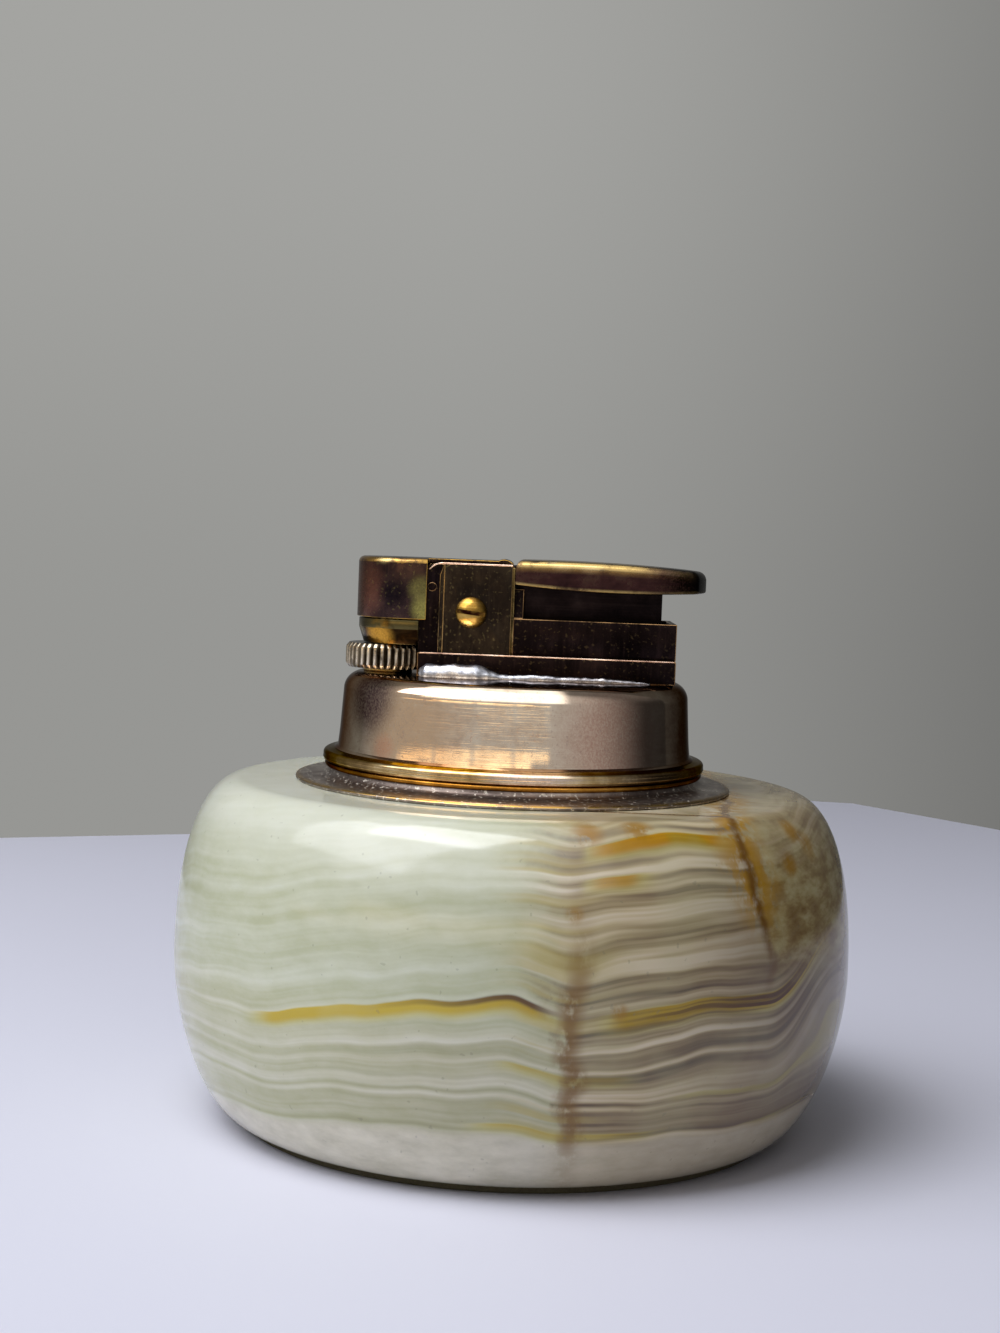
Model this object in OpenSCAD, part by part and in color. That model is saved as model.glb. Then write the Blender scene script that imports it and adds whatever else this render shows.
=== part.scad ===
// Gas table lighter: a round onyx base with a lift-out brass burner unit.
// Millimetres, +Z up. The origin is the centre of the pad's underside.
// The thumb lever points to +X, the snuffer hood to -X, the screw side faces -Y.

/* [Stone base] */
// Greatest diameter of the stone
stone_d = 91.2; // [84:0.2:110]
// Diameter of the stone's underside
stone_foot_d = 73.6; // [68:0.2:78]
// Diameter of the flat on top of the stone
stone_top_d = 74.2; // [68:0.2:78]
// Height of the stone by itself
stone_h = 44.6; // [42:0.2:60]
// Height of the widest girdle over the stone's underside
girdle_h = 21.4; // [16:0.2:28]
// Fullness of the curve below the girdle, 2 is a true ellipse
foot_fullness = 1.72; // [1.5:0.02:2.6]
// Fullness of the curve above the girdle
top_fullness = 2.24; // [1.6:0.02:3]
// Thickness of the felt pad
pad_t = 1.0; // [0.6:0.1:2]
// Step from the stone's foot in to the pad's edge
pad_inset = 0.5; // [0.2:0.1:3]
// How far left of the stone's axis its well is drilled
well_off = 0.7; // [0:0.1:1]

/* [Seat cup] */
// Bore of the cup that the burner unit stands in
cup_bore_d = 49.2; // [48.8:0.1:51]
// Wall of the cup
cup_wall = 0.5; // [0.4:0.05:0.8]
// Diameter of the flange that lies on the stone
flange_d = 58.8; // [56:0.2:64]
// Thickness of the flange
flange_t = 0.7; // [0.5:0.05:1.2]
// Height of the neck over the flange
neck_h = 1.8; // [1.4:0.1:3]

/* [Fuel tank and collar] */
// Diameter of the tank below the bead
tank_d = 47.8; // [46.8:0.1:48]
// Wall of the drawn tank
tank_wall = 0.8; // [0.6:0.05:1.2]
// Length of the tank below the bead
tank_drop = 34; // [28:0.5:35]
// Diameter of the collar above the bead
collar_d = 48.0; // [47:0.1:50]
// Diameter of the collar where its shoulder starts
collar_neck_d = 46.6; // [46:0.1:47.4]
// Height of the collar from under the bead to its flat top
collar_h = 12.05; // [10:0.05:16]
// Radius of the collar's shoulder
shoulder_r = 2.4; // [2:0.1:3]
// Diameter over the rolled bead
bead_d = 51.6; // [51:0.1:54]
// Thickness of the rolled bead
bead_t = 1.7; // [1.2:0.1:2.4]

/* [Lighting head] */
// Left end of the head's foot, from the stone's axis
foot_left = 13.9; // [13.8:0.1:14.2]
// Right end of the head's foot, from the stone's axis
foot_right = 20.3; // [19:0.1:22]
// Width of the foot
foot_w = 15.6; // [14.6:0.1:17]
// Height of the foot
foot_h = 3.1; // [2.6:0.1:3.4]
// Width of the hollow frame block
block_w = 13.8; // [13.2:0.1:14.6]
// Height of the frame block over the foot
block_h = 4.9; // [4.6:0.1:5.6]
// Width over the two walls of the mechanism frame
frame_w = 13.0; // [12.8:0.1:13.2]
// Wall of the mechanism frame
frame_wall = 0.7; // [0.6:0.05:0.8]
// Height of the mechanism frame over the foot
frame_h = 11.7; // [11.6:0.1:12]
// Thickness of a side plate
plate_t = 0.7; // [0.5:0.05:1]
// Diameter of the axle screw's head
screw_head_d = 4.1; // [3.4:0.1:5]

/* [Thumb lever] */
// Free height under the lever, which its press takes up
press_gap = 4.1; // [4.1:0.1:5]
// Thickness of the lever cap at its root
cap_t = 3.7; // [3.4:0.1:4]
// Tip of the lever cap, from the stone's axis
cap_tip = 24.4; // [22.5:0.1:28]
// Width of the lever cap
cap_w = 14.4; // [14:0.1:16]

/* [Snuffer hood and burner] */
// Left end of the hood, from the stone's axis
hood_left = 22.6; // [22.5:0.1:24]
// Width of the hood
hood_w = 14.4; // [14.3:0.1:15.2]
// Wall of the hood
hood_wall = 0.45; // [0.3:0.05:0.5]
// Height of the hood
hood_h = 8.1; // [8:0.1:8.6]
// Distance of the burner's axis from the stone's axis
burner_off = 18.2; // [18:0.1:18.3]
// Diameter of the knurled flame wheel
wheel_d = 11.5; // [10:0.1:11.6]
// Height of the knurled flame wheel
wheel_h = 3.3; // [2.8:0.1:3.4]
// Number of knurls on the flame wheel
knurls = 36; // [24:1:44]

/* [Spark mechanism] */
// Diameter of the spark wheel
spark_d = 6.4; // [5.6:0.1:6.6]
// Width of the spark wheel
spark_w = 4.4; // [3:0.1:4.4]
// Number of file teeth on the spark wheel
spark_teeth = 30; // [20:1:40]
// Diameter of a flint
flint_d = 2.5; // [2.2:0.1:2.6]

/* [Hidden] */
$fn = 96;
eps = 0.01;

// Clearances: play on a pin, a running fit, a seat between two units, a gap past moving pieces
play = 0.02;
fit = 0.05;
seat = 0.05;
pass = 0.25;

// Heights, each from the piece below it
stone_z = pad_t;
stone_top = stone_z + stone_h;
flange_top = stone_top + flange_t;
lip_z = flange_top + neck_h;
bead_z = lip_z + seat;
collar_top = bead_z + collar_h;
tank_floor_z = bead_z - tank_drop;
under_room = 4.4;
cup_floor_z = tank_floor_z - under_room;
foot_top = collar_top + foot_h;
block_top = foot_top + block_h;
cap_under = block_top + press_gap;
cap_top = cap_under + cap_t;
frame_top = foot_top + frame_h;
hood_top = frame_top + 0.7;
hood_under = hood_top - hood_h;

// Stone, and the axis of its well
lower_steps = 14;
upper_steps = 12;
well_r = cup_bore_d / 2 + cup_wall + pass;
well = [-well_off, 0, 0];

// Tank
tank_r = tank_d / 2;
collar_r = collar_d / 2;
neck_out_r = collar_neck_d / 2;
collar_in_r = neck_out_r - tank_wall;
shoulder_z = collar_top - shoulder_r;
bead_r = bead_d / 2;
shell_top_t = 1.0;
floor_t = 1.2;
ring_wire = 1.6;
ring_drop = 7;
bottom_rim = 2.4;

// Solder: right end of the seam, length of its tall part, foot and height of each
seam_right = 17;
seam_tall_len = 9;
seam_foot = 1.8;
seam_height = 1.5;
tall_foot = 2.2;
tall_height = 2.1;

// Head, plan
frame_r = frame_w / 2;
frame_in = frame_r - frame_wall;
frame_right = 1.5;
frame_floor = 0.7;
block_left = 1.4;
block_wall = 0.7;
block_end = 0.4;
post_x = 1.3;
post_y = 0.35;
plate_left = 11.3;
plate_right = 1.7;
plate_chamfer = 1.7;
plate_step_x = 0.6;
plate_step_t = 0.12;
plate_top = frame_top + 0.3;
plate_out = frame_r + plate_t;

// Pivots of the lever, the hood and the spark wheel, x and z
lever_piv = [-12.3, frame_top - 3.0];
hood_piv = [-2.9, frame_top - 0.7];
axle = [-7.0, foot_top + 5.5];
drive_reach = 1.25;
drive_angle = 20;
drive_piv = [hood_piv[0] + drive_reach * cos(drive_angle), hood_piv[1] + drive_reach * sin(drive_angle)];
axle_r = 1.1;
lever_pin_r = 0.6;
hood_pin_r = 0.45;
drive_pin_r = 0.4;
tail_r = 1.6;
arm_r = 4.2;
arm_t = 1.0;
lever_arm_in = arm_r + 0.3;
lever_arm_t = 1.0;
lever_arm_out = lever_arm_in + lever_arm_t;

// Lever cap: arcs of its long sides, seen from the front
top_arc = 240;
top_apex = 5;
under_arc = 160;
under_apex = 13;
under_sag = 0.25;
tip_arc = 16;
cap_left = 1.3;
cap_bevel = 0.7;
cap_wall = 0.8;
cap_skin = 0.9;
cap_hollow = 19;
skirt_left = -0.1;
skirt_right = 18.3;
skirt_r = 5.1;
skirt_wall = 0.7;
skirt_under = block_top - 0.35;
skirt_top = cap_top - cap_skin;
seat_t = 1.2;
spring_x = 12;
lever_coil_r = 2.2;
lever_wire_r = 0.35;
lever_turns = 6;

// Spark wheel and ratchet
spark_r = spark_d / 2;
hub_r = 1.35;
ratchet_r = 2.8;
ratchet_root = 2.1;
ratchet_teeth = 12;
ratchet_phase = 18;
ratchet_t = 1.1;
ratchet_y = spark_w / 2 + fit;
pawl_piv = [-3.6, lever_piv[1] - 0.5];
pawl_tip = [-4.25, axle[1] + 1.1];
pawl_w = 0.5;
pawl_t = 0.9;
pawl_stud_r = 0.75;

// Flint and its tube
tube_bore = flint_d / 2 + 0.2;
tube_wall = 0.7;
tube_r = tube_bore + tube_wall;
tube_top = axle[1] - spark_r - 0.5;
tube_low = tank_floor_z - 1.2;
flint_top = axle[1] - spark_r - 0.08;
flint_len = 5.6;
plug_len = 8;
flint_wire_r = 0.22;
flint_turns = 14;
flint_head_t = 1.5;
flint_head_r = tube_r + 1.1;
driver_slot = 0.8;

// Burner, valve and flame wheel
hood_r = hood_w / 2;
hood_round = 0.8;
hood_mid = hood_left - hood_r;
hood_back = foot_left + 0.15;
hood_cheek = foot_left - 0.9;
cup_inset = 0.3;
cup_w = hood_r - cup_inset;
cup_z = collar_top + 3.95;
cup_top = hood_under - 0.2;
cup_taper = 0.7;
cup_band = 1.2;
cup_t = 0.55;
wheel_r = wheel_d / 2;
wheel_z = cup_z - wheel_h - 0.15;
wheel_lip = 0.45;
wheel_room = 0.45;
knurl_depth = 0.42;
neck_r = 2.5;
spigot_r = 1.9;
valve_r = 2.95;
valve_low = collar_top - 10.2;
valve_flange_r = 3.3;
chamber_r = 1.95;
chamber_z = valve_low + 2.2;
chamber_top = collar_top - 2.2;
jet_r = 1.2;
jet_top = hood_under + 3.0;
jet_head = 0.8;
inlet_r = 0.8;
inlet_h = 0.9;
seal_t = 0.5;
jet_hole_r = 0.25;
jet_coil_r = 1.4;
jet_wire_r = 0.16;
jet_turns = 2;
spigot_h = 1.4;
nut_h = 2.1;
nut_r = 4.4;
feed_r = 1.0;
feed_bore_r = 0.5;
feed_grip = 1.2;
feed_gap = 1.5;
pad_r = 1.7;
pad_h = 1.4;

// Filler valve, under the tank
filler_x = 10;
filler_r = 3.0;
filler_len = 6.5;
filler_flange_r = 4.0;
filler_flange_t = 1.2;
stem_r = 0.9;
stem_collar_r = 1.6;
stem_seat_z = tank_floor_z + 1.8;
stem_step = 0.45;
stem_collar_h = 1.1;
filler_seal_h = 0.42;
filler_coil_r = 1.2;
filler_wire_r = 0.2;
filler_turns = 3;
filler_roof = 0.6;

// Stone outline: one quarter of a superellipse between two radii
function bulge(r_in, r_out, rise, power, steps) =
    [for (i = [0:steps]) let (a = 90 * i / steps)
        [r_in + (r_out - r_in) * pow(sin(a), 2 / power), rise * (1 - pow(cos(a), 2 / power))]];
lower_curve = bulge(stone_foot_d / 2, stone_d / 2, girdle_h, foot_fullness, lower_steps);
upper_curve = bulge(stone_top_d / 2, stone_d / 2, stone_h - girdle_h, top_fullness, upper_steps);

// A helix of round wire, as one closed tube
module coil(mean_r, wire_r, height, turns) {
    rings = round(turns * 8);
    sides = 6;
    rise = (height - 2 * wire_r) / turns;
    slope = atan(rise / (2 * PI * mean_r));
    echo(str("Least gap between turns ", rise - 2 * wire_r));
    points = [for (i = [0:rings]) let (a = 360 * turns * i / rings)
        for (k = [0:sides - 1]) let (t = 360 * k / sides)
            [cos(a) * (mean_r + wire_r * cos(t)) + sin(a) * wire_r * sin(t) * sin(slope),
             sin(a) * (mean_r + wire_r * cos(t)) - cos(a) * wire_r * sin(t) * sin(slope),
             wire_r + rise * a / 360 + wire_r * sin(t) * cos(slope)]];
    walls = [for (i = [0:rings - 1]) for (k = [0:sides - 1])
        let (n = (k + 1) % sides, p = i * sides, q = p + sides)
            for (f = [[p + k, q + k, q + n], [p + k, q + n, p + n]]) f];
    start = [for (k = [1:sides - 2]) [0, k, k + 1]];
    last = rings * sides;
    finish = [for (k = [1:sides - 2]) [last, last + k + 1, last + k]];
    polyhedron(points, concat(walls, start, finish), convexity = 6);
}

// A cylinder along Y, centred at x and z
module cross_rod(at, r, y0, y1) {
    translate([at[0], y1, at[1]]) rotate([90, 0, 0]) cylinder(r = r, h = y1 - y0);
}

// A flat outline in x and z, as thick as y0 to y1
module side_slab(points, y0, y1) {
    translate([0, y1, 0]) rotate([90, 0, 0]) linear_extrude(y1 - y0) polygon(points);
}

// A long form: the section turned half round at the left, then drawn out to the right
module round_end(mid, right) {
    translate([-mid, 0, 0]) rotate([0, 0, 90]) rotate_extrude(angle = 180) children(0);
    translate([-mid, 0, 0]) rotate([90, 0, 90]) linear_extrude(mid - right) {
        children(0);
        mirror([1, 0]) children(0);
    }
}

// Half section of a hood: flat top, rounded upper edge
module hood_section(w, low, high, round_r) {
    translate([0, low]) square([w, high - low - round_r]);
    translate([0, low]) square([w - round_r, high - low]);
    translate([w - round_r, high - round_r]) circle(round_r);
}

module onyx_base() color("#cfd3bd") {
    difference() {
        translate([0, 0, stone_z]) rotate_extrude($fn = 180) polygon(concat(
            [[0, 0]], lower_curve,
            [for (i = [upper_steps - 1:-1:0]) [upper_curve[i][0], stone_h - upper_curve[i][1]]],
            [[0, stone_h]]));
        translate(well + [0, 0, cup_floor_z - seat]) cylinder(r = well_r, h = stone_top - cup_floor_z + 1);
    }
}

module base_pad() color("#5f5a45") cylinder(d = stone_foot_d - 2 * pad_inset, h = pad_t);

module seat_cup() color("#7d7466") {
    bore = cup_bore_d / 2;
    outer = bore + cup_wall;
    rim = flange_d / 2;
    lip = 0.35;
    translate(well) rotate_extrude() polygon([
        [0, cup_floor_z], [outer, cup_floor_z], [outer, stone_top], [rim - 0.2, stone_top],
        [rim, stone_top + 0.2], [rim, flange_top - 0.3], [rim - 0.3, flange_top - 0.1],
        [outer + 0.9, flange_top + 0.15],
        [outer - 0.1, flange_top + 0.6], [outer - 0.1, lip_z - 0.7], [outer + lip, lip_z - 0.5],
        [outer + lip, lip_z - 0.2], [outer + lip - 0.2, lip_z], [bore + 0.2, lip_z], [bore, lip_z - 0.2],
        [bore, cup_floor_z + cup_wall], [0, cup_floor_z + cup_wall]]);
}

module fuel_tank() color("#8b6a57") {
    inner = tank_r - tank_wall;
    mid = bead_z + bead_t / 2;
    difference() {
        translate(well) rotate_extrude() {
            translate([0, tank_floor_z]) square([tank_r, bead_z + bead_t - tank_floor_z]);
            polygon([[0, mid], [collar_r, mid], [neck_out_r, shoulder_z], [0, shoulder_z]]);
            translate([0, mid]) square([neck_out_r - shoulder_r, collar_top - mid]);
            translate([neck_out_r - shoulder_r, shoulder_z]) circle(shoulder_r);
            translate([0, bead_z]) square([bead_r - bead_t / 2, bead_t]);
            translate([bead_r - bead_t / 2, mid]) circle(bead_t / 2);
        }
        translate(well + [0, 0, tank_floor_z - 1]) cylinder(r = inner, h = mid - tank_floor_z + 1);
        translate(well + [0, 0, tank_floor_z]) cylinder(r = collar_in_r, h = shoulder_z - tank_floor_z);
        translate(well + [0, 0, tank_floor_z])
            cylinder(r = collar_in_r - shoulder_r, h = collar_top - shell_top_t - tank_floor_z);
        translate([-burner_off, 0, tank_floor_z]) cylinder(r = valve_r + fit, h = tank_drop + collar_h + 1);
        translate([axle[0], 0, tank_floor_z]) cylinder(r = tube_r + fit, h = tank_drop + collar_h + 1);
        translate([-burner_off, 0, shoulder_z - eps])
            cylinder(r = valve_flange_r + 0.6, h = shoulder_r - shell_top_t);
    }
}

module tank_bottom() color("#9a7f52") {
    r = tank_r - tank_wall - fit;
    difference() {
        translate(well) rotate_extrude() polygon([
            [0, tank_floor_z], [r, tank_floor_z], [r, tank_floor_z + bottom_rim],
            [r - floor_t, tank_floor_z + bottom_rim], [r - floor_t, tank_floor_z + floor_t],
            [0, tank_floor_z + floor_t]]);
        translate([axle[0], 0, tank_floor_z - 1]) cylinder(r = tube_r + fit, h = floor_t + 2);
        translate([filler_x, 0, tank_floor_z - 1]) cylinder(r = filler_r + fit, h = floor_t + 2);
    }
}

module grip_ring() color("#2b2724") {
    out_r = cup_bore_d / 2 - 0.1;
    translate(well + [0, 0, bead_z - ring_drop]) rotate_extrude() {
        translate([tank_r + fit, 0.2]) square([out_r - tank_r - fit, ring_wire - 0.4]);
        translate([tank_r + fit, 0]) square([out_r - tank_r - fit - 0.2, ring_wire]);
    }
}

module foot_plate() color("#4a3a35") {
    difference() {
        translate([-foot_left, -foot_w / 2, collar_top]) cube([foot_left + foot_right, foot_w, foot_h]);
        translate([-burner_off, 0, collar_top - 1]) cylinder(r = wheel_r + wheel_room, h = foot_h + 2);
        translate([axle[0], 0, collar_top - 1]) cylinder(r = tube_r + fit, h = foot_h + 2);
    }
}

module solder_seam() color("#b9bcc0") {
    out = foot_w / 2;
    thin = [[out, 0], [out + seam_foot, 0], [out + seam_foot * 0.4, seam_height * 0.23],
        [out + seam_foot * 0.2, seam_height * 0.47], [out, seam_height]];
    tall = [[out, 0], [out + tall_foot, 0], [out + tall_foot * 0.73, tall_height * 0.43],
        [out + tall_foot * 0.41, tall_height * 0.76], [out, tall_height]];
    for (side = [-1, 1]) scale([1, side, 1]) translate([-foot_left, 0, collar_top]) rotate([90, 0, 90]) {
        linear_extrude(foot_left + seam_right) polygon(thin);
        linear_extrude(seam_tall_len) polygon(tall);
    }
}

module frame_block() color("#3f302d") {
    r = block_w / 2;
    difference() {
        translate([-block_left, -r, foot_top]) cube([block_left + foot_right, block_w, block_h]);
        translate([-block_left + block_end, -r + block_wall, foot_top + block_wall])
            cube([block_left - block_end + foot_right - block_wall, block_w - 2 * block_wall, block_h]);
    }
    for (side = [-1, 1]) scale([1, side, 1]) {
        translate([-block_left, frame_in + fit, foot_top])
            cube([post_x, post_y, cap_under - foot_top - 0.2]);
        translate([-block_left, frame_in + fit, foot_top])
            cube([post_x, r - frame_in - fit, block_h]);
    }
}

module mechanism_frame() color("#463532") {
    bevel = 1.2;
    wall = [[-foot_left, foot_top], [-frame_right, foot_top], [-frame_right, frame_top],
        [-foot_left + bevel, frame_top], [-foot_left, frame_top - bevel]];
    difference() {
        union() {
            side_slab(wall, frame_in, frame_r);
            side_slab(wall, -frame_r, -frame_in);
            translate([-foot_left, -frame_in - eps, foot_top])
                cube([foot_left - frame_right, 2 * (frame_in + eps), frame_floor]);
        }
        translate([-burner_off, 0, foot_top - 1]) cylinder(r = wheel_r + wheel_room, h = frame_floor + 2);
        translate([axle[0], 0, foot_top - 1]) cylinder(r = tube_r + fit, h = frame_floor + 2);
        cross_rod(axle, axle_r + fit, -frame_w, frame_w);
        cross_rod(lever_piv, lever_pin_r, -frame_w, frame_w);
        cross_rod(hood_piv, hood_pin_r, -frame_w, frame_w);
    }
}

// One side plate, on the +Y side: chamfered upper corner and a low step near its left edge
module side_plate() {
    step_x = plate_step_x - plate_left;
    difference() {
        union() {
            side_slab([[-plate_left, foot_top], [-plate_right, foot_top], [-plate_right, plate_top],
                [step_x, plate_top], [-plate_left, plate_top - plate_chamfer]],
                frame_r, plate_out - plate_step_t);
            side_slab([[step_x, foot_top], [-plate_right, foot_top], [-plate_right, plate_top],
                [step_x, plate_top]], frame_r, plate_out);
        }
        cross_rod(axle, axle_r + fit, 0, frame_w);
    }
}

module front_side_plate() color("#4d3b38") mirror([0, 1, 0]) side_plate();

module rear_side_plate() color("#4d3b38") side_plate();

module axle_screw() color("#b08a3a") {
    head_r = screw_head_d / 2;
    rim = 0.35;
    dome = 0.95;
    slot_w = 0.7;
    difference() {
        union() {
            cross_rod(axle, axle_r, -plate_out, plate_out + 0.6);
            translate([axle[0], -plate_out, axle[1]]) rotate([90, 0, 0]) rotate_extrude() intersection() {
                translate([0, rim + dome - head_r * 1.4]) circle(head_r * 1.4);
                square([head_r, rim + dome]);
            }
        }
        translate([axle[0] - head_r - 1, -plate_out - rim - dome - 1, axle[1] - slot_w / 2])
            cube([2 * head_r + 2, 1.6, slot_w]);
    }
}

module axle_nut() color("#a5823c") {
    head_r = screw_head_d / 2;
    difference() {
        translate([axle[0], plate_out, axle[1]]) rotate([-90, 0, 0]) rotate_extrude() intersection() {
            translate([0, 1.1 - head_r * 1.4]) circle(head_r * 1.4);
            square([head_r, 1.1]);
        }
        cross_rod(axle, axle_r, plate_out - 1, plate_out + 0.6);
    }
}

module lever_pin() color("#8a7a5a") cross_rod(lever_piv, lever_pin_r - fit / 2, -frame_r, frame_r);

module hood_pin() color("#8a7a5a") cross_rod(hood_piv, hood_pin_r - fit / 2, -frame_r, frame_r);

// Plan of the lever cap: straight sides and a gently bowed tip
module cap_plan(left, inset, right) {
    r = cap_w / 2 - inset;
    translate([left, -r]) square([right - tip_arc / 4 - left, 2 * r]);
    intersection() {
        translate([right - tip_arc, 0]) circle(tip_arc);
        translate([left, -r]) square([right - left, 2 * r]);
    }
}

module thumb_lever() color("#5a463c") {
    steps = 12;
    span = cap_left + cap_tip;
    stations = [for (i = [0:steps]) -cap_left + span * i / steps];
    side_view = concat(
        [for (x = stations) [x, cap_under - under_sag + pow(x - under_apex, 2) / (2 * under_arc)]],
        [for (i = [steps:-1:1]) [stations[i], cap_top - pow(stations[i] - top_apex, 2) / (2 * top_arc)]],
        [[cap_bevel - cap_left, cap_top - pow(cap_left + top_apex, 2) / (2 * top_arc)],
         [-cap_left, cap_top - cap_bevel - 0.1]]);
    difference() {
        intersection() {
            translate([0, 0, cap_under - 2]) linear_extrude(cap_t + 4) cap_plan(-cap_left, 0, cap_tip);
            side_slab(side_view, -cap_w, cap_w);
        }
        translate([-cap_left - 1, -cap_w / 2 + cap_wall, cap_under - 3])
            cube([cap_hollow + cap_left + 1, cap_w - 2 * cap_wall, skirt_top - cap_under + 3]);
    }
}

module lever_frame() color("#2c2422") {
    cap_in = cap_w / 2 - cap_wall - fit;
    root = [[lever_piv[0], lever_piv[1] - 0.7], [skirt_left + 0.5, lever_piv[1] - 0.7],
        [skirt_left + 0.5, skirt_top], [drive_piv[0], skirt_top], [drive_piv[0], drive_piv[1] - 0.9],
        [drive_piv[0] - 1.2, lever_piv[1] + 1.2], [lever_piv[0], lever_piv[1] + 1.2]];
    difference() {
        union() {
            for (side = [-1, 1]) scale([1, side, 1]) {
                side_slab(root, lever_arm_in, lever_arm_out);
                cross_rod(lever_piv, 1.4, lever_arm_in, lever_arm_out);
            }
            cross_rod(drive_piv, drive_pin_r, -lever_arm_in - eps, lever_arm_in + eps);
            translate([skirt_left, -skirt_r, skirt_under])
                cube([skirt_right - skirt_left, 2 * skirt_r, skirt_top - skirt_under]);
            translate([skirt_left + 0.3, -cap_in, cap_under + seat_t])
                cube([cap_hollow - skirt_left - 0.3 - fit, 2 * cap_in, skirt_top - cap_under - seat_t]);
        }
        translate([skirt_left + skirt_wall, -skirt_r + skirt_wall, skirt_under - 1])
            cube([skirt_right - skirt_left - 2 * skirt_wall, 2 * (skirt_r - skirt_wall),
                skirt_top - seat_t - skirt_under + 1]);
        cross_rod(lever_piv, lever_pin_r + play, -lever_arm_out - 1, lever_arm_out + 1);
    }
}

module lever_spring() color("#8c8f92") {
    low = foot_top + block_wall;
    translate([spring_x, 0, low]) coil(lever_coil_r, lever_wire_r, skirt_top - seat_t - low, lever_turns);
}

module pawl() color("#77706a") {
    y0 = ratchet_y + 0.1;
    half = pawl_w / 2;
    blade = [[pawl_piv[0] - half, pawl_piv[1]], [pawl_tip[0], pawl_tip[1]],
        [pawl_tip[0] + pawl_w, pawl_tip[1]], [pawl_piv[0] + half + 0.2, pawl_piv[1]]];
    side_slab(blade, y0, y0 + pawl_t);
    cross_rod(pawl_piv, pawl_stud_r, y0, lever_arm_in - fit);
}

module spark_wheel() color("#6f7377") {
    tooth = 360 / spark_teeth;
    outline = [for (i = [0:spark_teeth - 1])
        for (p = [[spark_r, 0], [spark_r, 0.35], [spark_r - 0.35, 0.4]])
            [axle[0] + p[0] * cos(tooth * (i + p[1])), axle[1] + p[0] * sin(tooth * (i + p[1]))]];
    difference() {
        union() {
            side_slab(outline, -spark_w / 2, spark_w / 2);
            cross_rod(axle, hub_r, -frame_in + fit, -spark_w / 2 + eps);
        }
        cross_rod(axle, axle_r + fit, -frame_w, frame_w);
    }
}

module ratchet_wheel() color("#8b8f93") {
    tooth = 360 / ratchet_teeth;
    outline = [for (i = [0:ratchet_teeth - 1])
        for (p = [[ratchet_r, 0], [ratchet_root, 0.01], [ratchet_root, 0.5]])
            [axle[0] + p[0] * cos(ratchet_phase + tooth * (i + p[1])),
             axle[1] + p[0] * sin(ratchet_phase + tooth * (i + p[1]))]];
    difference() {
        union() {
            side_slab(outline, ratchet_y, ratchet_y + ratchet_t);
            cross_rod(axle, hub_r, ratchet_y + ratchet_t - eps, frame_in - fit);
        }
        cross_rod(axle, axle_r + fit, -frame_w, frame_w);
    }
}

module flint_tube() color("#a58a4f") {
    translate([axle[0], 0, tube_low]) difference() {
        cylinder(r = tube_r, h = tube_top - tube_low);
        translate([0, 0, -1]) cylinder(r = tube_bore, h = tube_top - tube_low + 2);
    }
}

module flint() color("#55585c") {
    translate([axle[0], 0, flint_top - flint_len]) cylinder(d = flint_d, h = flint_len);
}

module flint_spring() color("#8c8f92") {
    low = tube_low + plug_len;
    translate([axle[0], 0, low])
        coil(flint_d / 2 - 0.25, flint_wire_r, flint_top - flint_len - low, flint_turns);
}

module flint_screw() color("#b08a3a") {
    difference() {
        union() {
            translate([axle[0], 0, tube_low - flint_head_t]) cylinder(r = flint_head_r, h = flint_head_t);
            translate([axle[0], 0, tube_low - eps]) cylinder(r = tube_bore - fit, h = plug_len);
        }
        translate([axle[0] - flint_head_r - 1, -driver_slot / 2, tube_low - flint_head_t - 1])
            cube([2 * flint_head_r + 2, driver_slot, driver_slot + 0.9]);
    }
}

module snuffer_hood() color("#4b3c33") {
    slot_r = drive_pin_r + 0.16;
    difference() {
        union() {
            difference() {
                round_end(hood_mid, hood_cheek) hood_section(hood_r, hood_under, hood_top, hood_round);
                translate([0, 0, -eps]) round_end(hood_mid, hood_cheek - 1)
                    hood_section(hood_r - hood_wall, hood_under, hood_top - hood_wall, hood_round);
            }
            translate([-hood_back - 0.5, -hood_r + hood_wall - eps, hood_under])
                cube([0.5, 2 * (hood_r - hood_wall + eps), hood_h - hood_wall + eps]);
            translate([-burner_off, 0, jet_top + pad_h])
                cylinder(r = pad_r + 0.35, h = hood_top - 0.2 - jet_top - pad_h);
            translate([-hood_back, -arm_r, hood_top - arm_t])
                cube([hood_back + hood_piv[0], 2 * arm_r, arm_t]);
            cross_rod(hood_piv, tail_r, -arm_r, arm_r);
        }
        cross_rod(hood_piv, hood_pin_r + play, -arm_r - 1, arm_r + 1);
        translate([hood_piv[0], 0, hood_piv[1]]) rotate([0, -drive_angle, 0])
            translate([drive_reach, 0, 0]) {
                cross_rod([0, 0], slot_r, -arm_r - 1, arm_r + 1);
                translate([0, -arm_r - 1, -slot_r]) cube([3, 2 * arm_r + 2, 2 * slot_r]);
            }
        translate([-burner_off, 0, jet_top - 1]) cylinder(r = pad_r - 0.4, h = pad_h + 1.5);
    }
}

module hood_seal() color("#2a2a2a") {
    translate([-burner_off, 0, jet_top + seat]) cylinder(r = pad_r, h = pad_h - seat);
}

// Half section of the burner cup: tapered foot, straight band
module cup_section(w, low, high) {
    polygon([[0, low], [w - cup_taper, low], [w, high - cup_band], [w, high], [0, high]]);
}

module burner_cup() color("#b5802a") {
    right = foot_left + fit;
    difference() {
        round_end(hood_mid, right) cup_section(cup_w, cup_z, cup_top);
        round_end(hood_mid, right + cup_t) translate([0, cup_t])
            cup_section(cup_w - cup_t, cup_z, cup_top + 1);
        translate([-burner_off, 0, cup_z - 1]) cylinder(r = spigot_r + play, h = 3);
    }
}

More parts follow.
